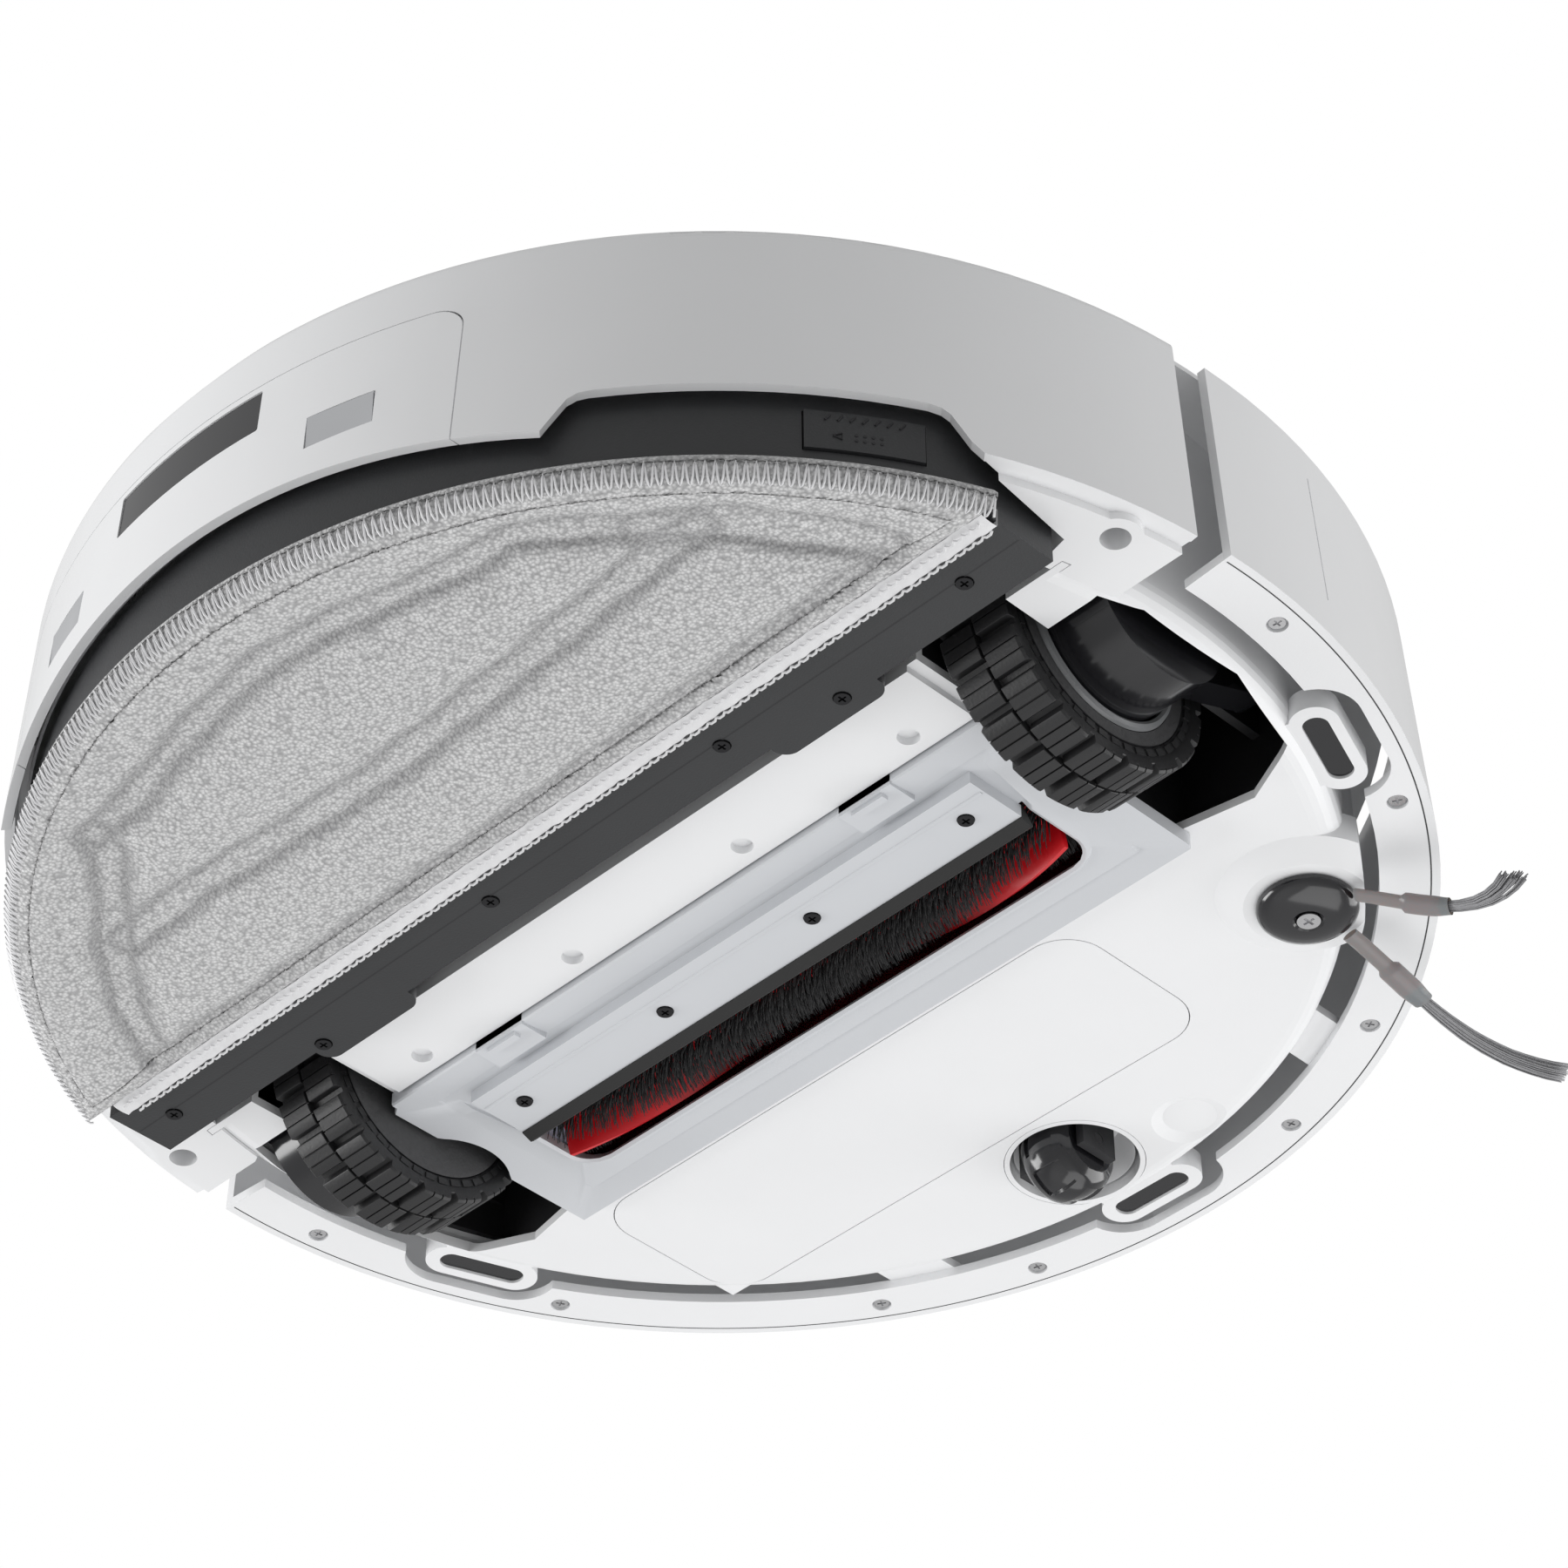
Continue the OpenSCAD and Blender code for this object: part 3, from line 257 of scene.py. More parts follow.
WHITE = (0.86, 0.865, 0.875)
M = {
    "white_shell": material("white_shell", WHITE, 0.24, coat=0.35, mottle=0.012, rough_var=0.03,
                            bump=0.05, bump_size=0.0006),
    "white_deck": material("white_deck", WHITE, 0.26, coat=0.3, mottle=0.012, rough_var=0.03,
                           bump=0.05, bump_size=0.0006),
    "white_belly": material("white_belly", WHITE, 0.38, mottle=0.015, rough_var=0.04,
                            bump=0.12, bump_size=0.0005),
    "guard_grey": material("guard_grey", (0.62, 0.635, 0.66), 0.36, mottle=0.02, rough_var=0.04,
                           bump=0.12, bump_size=0.0005),
    "contact_plate": material("contact_plate", (0.72, 0.73, 0.75), 0.3, metal=0.9, mottle=0.04,
                              rough_var=0.06, bump=0.06, bump_size=0.0004),
    "black_window": material("black_window", (0.006, 0.006, 0.008), 0.06, coat=0.6, mottle=0.1,
                             rough_var=0.02),
    "battery_wrap": material("battery_wrap", (0.02, 0.06, 0.2), 0.4, bump=0.1),
    "circuit_board": material("circuit_board", (0.01, 0.09, 0.04), 0.35, mottle=0.3, mottle_size=0.004),
    "black_plastic": material("black_plastic", (0.018, 0.018, 0.02), 0.5, mottle=0.15, bump=0.25,
                              bump_size=0.0007),
    "grey_plastic": material("grey_plastic", (0.5, 0.51, 0.53), 0.4, bump=0.1, bump_size=0.0006),
    "chamber_red": material("chamber_red", (0.07, 0.004, 0.008), 0.14, coat=0.5, mottle=0.2),
    "black_rubber": material("black_rubber", (0.012, 0.012, 0.012), 0.55, mottle=0.2, bump=0.2,
                             bump_size=0.0012),
    "bearing_blue": material("bearing_blue", (0.62, 0.7, 0.84), 0.3, mottle=0.04, bump=0.05,
                             bump_size=0.001),
    "screw_black": material("screw_black", (0.02, 0.02, 0.022), 0.32, metal=0.6, mottle=0.2),
    "screw_steel": material("screw_steel", (0.7, 0.7, 0.71), 0.25, metal=1.0, mottle=0.1),
    "well_black": material("well_black", (0.008, 0.008, 0.009), 0.5, mottle=0.2, bump=0.2,
                           bump_size=0.001),
    "charcoal_plastic": material("charcoal_plastic", (0.03, 0.031, 0.033), 0.42, mottle=0.12, bump=0.35,
                                 bump_size=0.0006),
    "brush_red": material("brush_red", (0.62, 0.004, 0.01), 0.35, mottle=0.12, sss=0.05),
    "bristle_black": material("bristle_black", (0.012, 0.012, 0.013), 0.55, mottle=0.3,
                              mottle_size=0.002),
    "gloss_black": material("gloss_black", (0.012, 0.012, 0.014), 0.16, coat=0.4, mottle=0.15,
                            rough_var=0.05),
    "arm_rubber": material("arm_rubber", (0.2, 0.205, 0.21), 0.3, mottle=0.1, sss=0.1, bump=0.1,
                           bump_size=0.001),
    "tuft_grey": material("tuft_grey", (0.3, 0.3, 0.31), 0.35, mottle=0.3, mottle_size=0.0015),
    "tyre_rubber": material("tyre_rubber", (0.016, 0.016, 0.017), 0.5, mottle=0.25, bump=0.3,
                            bump_size=0.0008),
    "spring_steel": material("spring_steel", (0.55, 0.55, 0.57), 0.25, metal=1.0, mottle=0.06),
    "mop_cloth": terry(),
    "smoke_clear": material("smoke_clear", (0.1, 0.105, 0.12), 0.15, mottle=0.05, trans=0.55),
    "filter_paper": material("filter_paper", (0.75, 0.74, 0.68), 0.8, bump=0.5, bump_size=0.001),
}
for part in frame["record"]["subparts"]:
    node = nodes[part["node"]]
    node.data.materials.clear()
    node.data.materials.append(M[part["material_slot"]])


# ---------- mesh helpers, in mm above the working floor ----------

SHARP_EDGE = 38  # degrees


def add(name, verts, faces, slot_name, body=None, parent=None, replaces=(), smooth=True, mats=None,
        face_mat=None):
    """One visible piece. smooth True keeps sharp edges, "all" rounds every edge over, False shades flat."""
    mesh = bpy.data.meshes.new(name)
    v = np.asarray(verts, float).copy()
    v[:, 2] += LIFT
    mesh.from_pydata((v * MM).tolist(), [], [tuple(int(i) for i in f) for f in faces])
    for m in mats or [M[slot_name]]:
        mesh.materials.append(m)
    if face_mat is not None:
        mesh.polygons.foreach_set("material_index", np.asarray(face_mat, np.int32))
    mesh.polygons.foreach_set("use_smooth", np.full(len(mesh.polygons), bool(smooth)))
    mesh.validate()
    mesh.update()
    piece = bpy.data.objects.new(name, mesh)
    bpy.context.scene.collection.objects.link(piece)
    if smooth is True:
        mesh.set_sharp_from_angle(angle=math.radians(SHARP_EDGE))
    if replaces:
        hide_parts(*replaces)
    if parent is not None:
        piece.parent = parent
    else:
        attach(piece, body)
    return piece


class Builder:
    """Collects vertices and faces of one piece."""

    def __init__(self):
        self.v = []
        self.f = []
        self.m = []
        self.count = 0

    def put(self, verts, faces, mat=0):
        verts = np.asarray(verts, float)
        self.v.append(verts)
        self.f += [tuple(i + self.count for i in f) for f in faces]
        self.m += [mat] * len(faces)
        self.count += len(verts)

    def make(self, name, slot_name, **more):
        return add(name, np.vstack(self.v), self.f, slot_name, face_mat=self.m, **more)


def grid_faces(rows, cols, wrap_rows=False, wrap_cols=False):
    """Four-sided faces of a grid of points numbered row by row."""
    out = []
    for i in range(rows if wrap_rows else rows - 1):
        for j in range(cols if wrap_cols else cols - 1):
            this_row = i * cols
            next_row = ((i + 1) % rows) * cols
            next_col = (j + 1) % cols
            out.append((this_row + j, this_row + next_col, next_row + next_col, next_row + j))
    return out


def flipped(faces):
    """The same faces seen from the other side."""
    return [q[::-1] for q in faces]


def frames_along(path):
    """Two unit vectors square to the path at each of its points."""
    path = np.asarray(path, float)
    t = np.gradient(path, axis=0)
    t /= np.linalg.norm(t, axis=1)[:, None]
    side = np.cross(t, [0, 0, 1.0])
    weak = np.linalg.norm(side, axis=1) < 1e-3
    side[weak] = np.cross(t[weak], [1.0, 0, 0])
    side /= np.linalg.norm(side, axis=1)[:, None]
    return side, np.cross(side, t)


def tube(path, radius, sides=6, flat=1.0):
    """Tube along a path. radius is one number or one per point; flat squeezes it upright."""
    path = np.asarray(path, float)
    radius = np.broadcast_to(np.asarray(radius, float), (len(path),))
    flat = np.broadcast_to(np.asarray(flat, float), (len(path),))
    side, up = frames_along(path)
    turn = np.linspace(0, 2 * math.pi, sides, endpoint=False)
    rings = (path[:, None] + side[:, None] * (radius[:, None] * np.cos(turn))[..., None]
             + up[:, None] * ((radius * flat)[:, None] * np.sin(turn))[..., None])
    faces = grid_faces(len(path), sides, wrap_cols=True)
    last = (len(path) - 1) * sides
    faces += [tuple(range(sides))[::-1], tuple(last + i for i in range(sides))]
    return rings.reshape(-1, 3), faces


def along_x(profile, centre, steps, a0=0.0, a1=360.0):
    """Lathe of (x, r) points about the X line through centre = (y, z)."""
    full = a1 - a0 >= 360
    turn = np.radians(np.linspace(a0, a1, steps, endpoint=not full))
    p = np.asarray(profile, float)
    v = np.stack([np.broadcast_to(p[None, :, 0], (len(turn), len(p))),
                  centre[0] + np.sin(turn)[:, None] * p[None, :, 1],
                  centre[1] - np.cos(turn)[:, None] * p[None, :, 1]], axis=2)
    return v.reshape(-1, 3), grid_faces(len(turn), len(p), wrap_rows=full)


def about_z(profile, centre, steps, a0=0.0, a1=360.0):
    """Lathe of (r, z) points about the upright line through centre = (x, y)."""
    full = a1 - a0 >= 360
    turn = np.radians(np.linspace(a0, a1, steps, endpoint=not full))
    p = np.asarray(profile, float)
    v = np.stack([centre[0] + np.cos(turn)[:, None] * p[None, :, 0],
                  centre[1] + np.sin(turn)[:, None] * p[None, :, 0],
                  np.broadcast_to(p[None, :, 1], (len(turn), len(p)))], axis=2)
    return v.reshape(-1, 3), grid_faces(len(turn), len(p), wrap_rows=full)


def strands(roots, tips, radius, tip_share):
    """Thin three-sided hairs from roots to tips."""
    roots, tips = np.asarray(roots, float), np.asarray(tips, float)
    n = len(roots)
    d = tips - roots
    d /= np.linalg.norm(d, axis=1)[:, None]
    side = np.cross(d, [0.31, 0.2, 0.93])
    side /= np.linalg.norm(side, axis=1)[:, None]
    up = np.cross(side, d)
    stops = [(roots, 1.0), (tips, tip_share)]
    rings = []
    for p, share in stops:
        for k in range(3):
            a = 2 * math.pi * k / 3
            rings.append(p + (side * math.cos(a) + up * math.sin(a)) * radius * share)
    v = np.stack(rings, axis=1).reshape(-1, 3)
    per = 3 * len(stops)
    faces = []
    for i in range(n):
        b = i * per
        for level in range(len(stops) - 1):
            for k in range(3):
                q = b + level * 3
                faces.append((q + k, q + (k + 1) % 3, q + 3 + (k + 1) % 3, q + 3 + k))
        e = b + per - 3
        faces.append((e, e + 1, e + 2))
    return v, faces


def smoothstep(t):
    """0 to 1 with soft ends."""
    t = np.clip(t, 0, 1)
    return t * t * (3 - 2 * t)


def resample(points, step):
    """Points about one step apart along a line of points."""
    p = np.asarray(points, float)
    seg = np.linalg.norm(np.diff(p, axis=0), axis=1)
    at = np.concatenate([[0], np.cumsum(seg)])
    n = max(int(at[-1] / step), 2)
    stops = np.linspace(0, at[-1], n)
    return np.stack([np.interp(stops, at, p[:, k]) for k in range(p.shape[1])], axis=1)


# ---------- mop pad ----------

PAD_R = 171.5
PAD_Y = 68.6  # the straight edge
PAD_TOP = 7.9  # where the backing lies against the mount
PAD_WALL_TOP = 6.6  # where the rounded rim ends
PAD_SIDE = 460  # points along the arc, and as many along the straight edge
PAD_FIELD_ROWS = 112
PAD_RIM_INSETS = (0, 0.3, 0.8, 1.4, 2.1, 2.9, 3.7, 4.7, 5.7)
RIM_ROUND = 3.7  # how far in the rim is rounded
RIM_DROP = 4.2
CLOTH_FACE = 1.25  # height of the flat cloth
CLOTH_CROWN = 1.1  # how far the cloth swells between channels
CHANNEL_DEEP = 1.3
CREASE_DEEP = 0.5
# centre lines of the pressed channels in the cloth, each with its half width
CHANNELS = [
    ([(67, 139.5), (50, 141), (31, 145), (12, 148), (-7, 150), (-26, 147.5), (-44, 143.5), (-63, 139.5),
      (-76, 138.5), (-82, 134), (-90, 127.5), (-99, 120), (-107, 112)], 3.9),
    ([(-99, 119), (-107, 112), (-115, 104), (-123, 93), (-129, 83), (-131, 78)], 5.4),
    ([(92, 108), (66, 109.5), (34, 107), (3, 105.5), (-28, 107), (-59, 108.5), (-80, 110), (-97, 111.5),
      (-106, 110)], 4.6),
    ([(67, 139.5), (70, 132), (80, 124), (93, 112.5), (104, 101.5), (112, 93), (118, 83), (122, 75)], 4.2),
    ([(123, 74), (96, 74.4), (65, 74), (29, 74.4), (-3, 74.6), (-33, 75), (-57, 75.6), (-100, 76.2),
      (-128, 76.5)], 1.7),
]


def distance_to(points, line):
    """Distance of each (x, y) point from a polyline."""
    best = np.full(len(points), 1e9)
    line = np.asarray(line, float)
    for a, b in zip(line[:-1], line[1:]):
        d = b - a
        t = np.clip(((points - a) @ d) / (d @ d), 0, 1)
        best = np.minimum(best, np.linalg.norm(points - (a + t[:, None] * d), axis=1))
    return best


def pad_ring(inset):
    """Points round the pad: along the arc, then back along the straight edge at the same x."""
    r = PAD_R - inset
    y = PAD_Y + inset
    a0 = math.asin(y / r)
    turn = np.linspace(a0, math.pi - a0, PAD_SIDE)
    arc = np.stack([r * np.cos(turn), r * np.sin(turn)], axis=1)
    line = np.stack([arc[::-1, 0], np.full(PAD_SIDE, y)], axis=1)
    line[0, 0] += 0.05
    line[-1, 0] -= 0.05
    return np.vstack([arc, line])


def channel_depth(xy):
    """How far the cloth is pressed in, how near a channel is, and how far into the creases at a channel's
    edges each point lies, which also gives the painted shade along those creases.
    """
    depth = np.zeros(len(xy))
    near = np.full(len(xy), 1e9)
    dark = np.zeros(len(xy))
    for line, half in CHANNELS:
        wobble = 0.35 * np.sin(xy[:, 0] * 0.23) + 0.3 * np.sin(xy[:, 1] * 0.31 + 1.0)
        d = distance_to(xy, line) + wobble
        floor = smoothstep((half + 0.7 - d) / 1.4)
        depth = np.maximum(depth, floor * (1.0 if half > 2 else 0.7))
        near = np.minimum(near, np.maximum(d - half, 0))
        # the profile of the creases gives both the real dip in the cloth and the painted shade along the
        # creases
        dark = np.maximum(dark, np.exp(-((d - half) / 1.7) ** 2) * (1.0 if half > 2 else 0.8))
    return depth, near, dark


def grain(xy, cell, seed):
    """Smooth random values from -1 to 1, about one lump per cell."""
    rng = np.random.default_rng(seed)
    table = rng.uniform(-1, 1, (512, 512))
    q = xy / cell + 200
    i = np.floor(q).astype(int)
    f = smoothstep(q - i)
    i %= 511
    a = table[i[:, 0], i[:, 1]] * (1 - f[:, 0]) + table[i[:, 0] + 1, i[:, 1]] * f[:, 0]
    b = table[i[:, 0], i[:, 1] + 1] * (1 - f[:, 0]) + table[i[:, 0] + 1, i[:, 1] + 1] * f[:, 0]
    return a * (1 - f[:, 1]) + b * f[:, 1]


def cloth_height(xy, inset):
    """Height of the cloth's face and the painted shade along its creases, inset mm in from the edge."""
    depth, near, dark = channel_depth(xy)
    edge = np.clip(1 - inset / RIM_ROUND, 0, 1)
    round_up = RIM_DROP * (1 - np.sqrt(np.maximum(0, 1 - edge ** 2)))
    rim = np.clip(inset / 7, 0, 1)
    crown = CLOTH_CROWN * smoothstep(near / 12) * rim
    lumps = 0.17 * grain(xy, 1.25, 3) + 0.1 * grain(xy, 0.8, 4) + 0.12 * grain(xy, 6.0, 5)
    fluff = lumps * np.clip(inset / 2, 0.3, 1)
    height = CLOTH_FACE + round_up - crown + (CHANNEL_DEEP * depth + CREASE_DEEP * dark) * rim + fluff
    return height, dark * rim


def build_pad():
    n = 2 * PAD_SIDE
    rows, painted_crease_shades = [], []
    for d in PAD_RIM_INSETS:
        xy = pad_ring(d)
        z, dark = cloth_height(xy, np.full(n, d))
        rows.append(np.column_stack([xy, z]))
        painted_crease_shades.append(dark)
    faces = grid_faces(len(rows), n, wrap_cols=True)
    # the field inside the last ring: columns from the arc to the straight edge
    last = pad_ring(PAD_RIM_INSETS[-1])
    arc = last[:PAD_SIDE]
    line = last[PAD_SIDE:][::-1]
    levels = PAD_FIELD_ROWS
    base = (len(rows) - 1) * n
    ids = np.empty((levels + 1, PAD_SIDE), int)
    ids[0] = base + np.arange(PAD_SIDE)
    ids[levels] = base + n - 1 - np.arange(PAD_SIDE)
    nxt = len(rows) * n
    for k in range(1, levels):
        t = k / levels
        xy = arc * (1 - t) + line * t
        inset = np.minimum(PAD_R - np.linalg.norm(xy, axis=1), xy[:, 1] - PAD_Y)
        z, dark = cloth_height(xy, inset)
        rows.append(np.column_stack([xy, z]))
        painted_crease_shades.append(dark)
        ids[k] = nxt + np.arange(PAD_SIDE)
        nxt += PAD_SIDE
    for k in range(levels):
        for j in range(PAD_SIDE - 1):
            faces.append((ids[k, j], ids[k + 1, j], ids[k + 1, j + 1], ids[k, j + 1]))
    faces = flipped(faces)
    # the side wall and the backing that lies against the mount
    start = nxt
    for d, z in ((0, PAD_WALL_TOP), (0.5, 7.6), (2.5, PAD_TOP)):
        rows.append(np.column_stack([pad_ring(d), np.full(n, z)]))
        painted_crease_shades.append(np.zeros(n))
    for k in range(3):
        p = 0 if k == 0 else start + (k - 1) * n
        q = start + k * n
        faces += [(p + (j + 1) % n, q + (j + 1) % n, q + j, p + j)[::-1] for j in range(n)]
    base = start + 2 * n
    faces += [(base + i, base + i + 1, base + n - 2 - i, base + n - 1 - i) for i in range(PAD_SIDE - 1)]
    piece = add("mop_pad_cloth", np.vstack(rows), faces, "mop_cloth", body="mop", replaces=("mop_pad",),
                smooth="all")
    # painted shade along the creases, one value per point, which the cloth's material reads
    shade = piece.data.attributes.new("painted_crease_shade", "FLOAT", "POINT")
    shade.data.foreach_set("value", np.concatenate(painted_crease_shades).astype(np.float32))
    return piece


OVERLOCK_LOOPS = 178
OVERLOCK_THREAD = 0.3
SEAM_THREAD = 0.36
SEAM_FROM = -151
SEAM_LONG = 296
HEM_FROM = -153
HEM_TO = 146
HEM_POINTS = 420
HEM_BACK = 7.0  # height of its hidden side


def build_overlock(pad):
    """Thread looped over the curved rim."""
    rng = np.random.default_rng(6)
    a0 = math.asin((PAD_Y + 2) / PAD_R)
    sweep = math.pi - 2 * a0
    path = []
    for k in range(OVERLOCK_LOOPS + 1):
        t = a0 + sweep * k / OVERLOCK_LOOPS
        half = sweep / OVERLOCK_LOOPS / 2
        wob = rng.uniform(-0.25, 0.25, 4)
        for dt, r, z in ((0, 168.7 + wob[0], 1.0), (0.25, 169.4 + wob[1] * 0.4, 0.9), (0.55, 170.4, 1.55),
                         (0.8, 171.6, 3.6 + wob[2]), (1.0, 171.95, 4.9 + wob[3]), (1.2, 171.6, 3.6),
                         (1.45, 170.4, 1.55), (1.75, 169.4, 0.9)):
            path.append((r * math.cos(t + dt * half), r * math.sin(t + dt * half), z))
    v, f = tube(path, OVERLOCK_THREAD, 5)
    add("mop_overlock", v, f, "mop_cloth", parent=pad, mats=[M["mop_thread"]])


def build_hem(pad):
    """Woven band along the straight edge, puckered by its two seams."""
    b = Builder()
    xs = np.linspace(HEM_FROM, HEM_TO, HEM_POINTS)
    rows = []
    for y, z in ((64.3, 2.6), (64.6, 2.1), (66.5, 1.9), (68.4, 2.0), (69.6, 2.3)):
        rows.append(np.column_stack([xs, np.full(len(xs), y) + (0.12 * np.sin(xs * 1.1) if y < 65 else 0),
                                     z + 0.14 * np.sin(xs * 0.55) + 0.08 * np.sin(xs * 1.7 + 1)]))
    for y in (69.6, 64.3):
        rows.append(np.column_stack([xs, np.full(len(xs), y), np.full(len(xs), HEM_BACK)]))
    b.put(np.vstack(rows), flipped(grid_faces(len(rows), len(xs), wrap_rows=True)))
    b.make("mop_hem", "mop_cloth", parent=pad, mats=[M["mop_hem"]])
    seams = (("mop_seam_outer", 64.2, 2.2, 2.7, 0.45),
             ("mop_seam_inner", 68.5, 1.3, 2.5, 0.5))
    for name, y, z, pitch, rise in seams:
        path = []
        for k in range(int(SEAM_LONG / pitch)):
            x = SEAM_FROM + k * pitch
            path += [(x, y, z), (x + pitch * 0.3, y - rise, z - 0.35), (x + pitch * 0.7, y - rise, z - 0.35)]
        v, f = tube(path, SEAM_THREAD, 5)
        add(name, v, f, "mop_cloth", parent=pad, mats=[M["mop_thread"]])


M["mop_thread"] = material("mop_thread", (0.72, 0.72, 0.73), 0.45, mottle=0.1, mottle_size=0.001)
M["mop_hem"] = material("mop_hem", (0.78, 0.78, 0.79), 0.55, mottle=0.08, bump=0.4, bump_size=0.0006)
pad = build_pad()
build_overlock(pad)
build_hem(pad)


# ---------- drive wheels ----------

WHEEL_X = 117.0
WHEEL_Y = 1.0
AXLE_Z = 26.0
WHEEL_R = 35.0
TYRE_HALF = 10.3
TREAD_DEEP = 2.4
LUGS = 19
SIDE_BLOCKS = 44
# height of the tread through one lug: (share of the pitch, mm below the outside)
LUG_STEPS = [(0.0, 2.3), (0.05, 2.3), (0.10, 0.15), (0.12, 0.0), (0.33, 0.0), (0.335, 0.7), (0.365, 0.7),
             (0.37, 0.0), (0.59, 0.0), (0.595, 0.7), (0.625, 0.7), (0.63, 0.0), (0.86, 0.0), (0.88, 0.15),
             (0.93, 2.3)]


def build_tyre(side, s):
    """Rubber tyre; s is 1 on the port side and -1 on starboard."""
    b = Builder()
    c = (WHEEL_Y, AXLE_Z)
    base_r = WHEEL_R - TREAD_DEEP
    x = s * WHEEL_X
    carcass = [(-9.6, 28.2), (-9.9, 29.0), (-9.9, 31.2), (-9.3, 32.2), (-8.4, base_r), (8.4, base_r),
               (9.3, 32.2), (9.9, 31.2), (9.9, 29.0), (9.6, 28.2)]
    v, f = along_x([(x + s * a, r) for a, r in carcass], c, 180)
    b.put(v, f if s < 0 else flipped(f))
    for row, (x0, x1) in enumerate(((-TYRE_HALF, -0.35), (0.35, TYRE_HALF))):
        rings = []
        for k in range(LUGS):
            for t, low in LUG_STEPS:
                a = 2 * math.pi * (k + t + row * 0.5) / LUGS
                r = WHEEL_R - low
                edge = 0.55 if low < 1 else 0.2
                outer, inner = (x0, x1) if row == 0 else (x1, x0)
                sign = 1 if row == 0 else -1
                section = [(outer + sign * 0.3, 30.6), (outer, 31.4), (outer, r - edge),
                           (outer + sign * edge, r), (inner - sign * 0.15, r), (inner, r - 0.15),
                           (inner, 31.0)]
                rings.append([(x + s * px, c[0] + pr * math.sin(a), c[1] - pr * math.cos(a))
                              for px, pr in section])
        m = len(rings[0])
        faces = grid_faces(len(rings), m, wrap_rows=True)
        flip = (row == 0) == (s > 0)
        b.put(np.array(rings).reshape(-1, 3), flipped(faces) if flip else faces)
    # small blocks round both sidewalls, with slots between them
    for face in (-1, 1):
        xa = face * 9.85
        xb = face * 10.25
        for k in range(SIDE_BLOCKS):
            a0 = 2 * math.pi * k / SIDE_BLOCKS
            a1 = 2 * math.pi * (k + 0.66) / SIDE_BLOCKS
            quad = ((28.9, a0), (28.9, a1), (30.7, a1), (30.7, a0))
            pts = [(x + s * xx, c[0] + r * math.sin(a), c[1] - r * math.cos(a))
                   for xx in (xa, xb) for r, a in quad]
            sides = [(0, 1, 5, 4), (1, 2, 6, 5), (2, 3, 7, 6), (3, 0, 4, 7), (4, 5, 6, 7)]
            b.put(pts, sides if face * s > 0 else flipped(sides))
    b.make("tyre_tread_" + side, "tyre_rubber", body="wheel_" + side,
           replaces=("tyre_left" if s > 0 else "tyre_right",), smooth=True)


HUB_STEPS = 120


def build_hub(side, s):
    """Rings that dress both faces of the hub: the second material is the bright one."""
    c = (WHEEL_Y, AXLE_Z)
    b = Builder()
    x = s * WHEEL_X
    ring = [(10.0, 27.9), (10.0, 24.4), (9.4, 24.0), (9.0, 23.6), (8.4, 23.6), (8.4, 27.9)]
    v, f = along_x([(x + s * a, r) for a, r in ring], c, HUB_STEPS)
    b.put(v, f if s > 0 else flipped(f), 0)
    bright = [(10.0, 24.2), (10.9, 23.9), (11.3, 22.9), (10.9, 22.1), (9.6, 21.9), (9.0, 23.0)]
    v, f = along_x([(x + s * a, r) for a, r in bright], c, HUB_STEPS)
    b.put(v, f if s > 0 else flipped(f), 1)
    inner = [(-9.95, 28.0), (-10.2, 27.0), (-10.2, 9.0), (-9.9, 8.2), (-9.9, 0.05)]
    v, f = along_x([(x + s * a, r) for a, r in inner], c, HUB_STEPS)
    b.put(v, f if s < 0 else flipped(f), 0)
    b.make("hub_rings_" + side, "black_plastic", body="wheel_" + side, smooth=True,
           mats=[M["hub_face"], M["hub_ring"]])


M["hub_face"] = material("hub_face", (0.05, 0.05, 0.052), 0.6, mottle=0.3, mottle_size=0.0015, bump=0.5,
                         bump_size=0.0009)
M["hub_ring"] = material("hub_ring", (0.16, 0.165, 0.17), 0.3, mottle=0.1, coat=0.3)
for side, s in (("port", 1), ("starboard", -1)):
    build_tyre(side, s)
    build_hub(side, s)


# ---------- main brush ----------

BRUSH_Y = -26.5
BRUSH_Z = 24.0
BRUSH_HALF = 86.0
BRUSH_CORE_R = 9.0
FIN_AT = (92.0, -28.0, -148.0)  # angle of each fin at the middle, from straight down towards the bumper
BRUSH_TWIST = 78.0
FIN_POINTS = 150
# across one fin: (distance from the axis, degrees from its middle)
FIN_SECTION = [(8.8, -9.0), (11.0, -5.0), (16.6, -3.4), (17.9, -2.4), (17.9, 1.6), (16.8, 2.6), (11.0, 4.5),
               (8.8, 9.0)]
BRISTLE_R = 0.19
BRISTLE_PITCH = 0.66
BRISTLE_ROOT = 8.7
BRISTLE_BANDS = (9, 100, 17)  # degrees behind the fin, first and last, and how many rows


def brush_angle(first, x):
    """The rows run in a wide V: both ends lag behind the middle."""
    return first - BRUSH_TWIST * (np.abs(x) / BRUSH_HALF) ** 1.25


def on_brush(x, r, deg):
    """A point r mm from the brush's axis."""
    a = np.radians(deg)
    return np.stack(np.broadcast_arrays(x, BRUSH_Y - r * np.sin(a), BRUSH_Z - r * np.cos(a)), axis=-1)


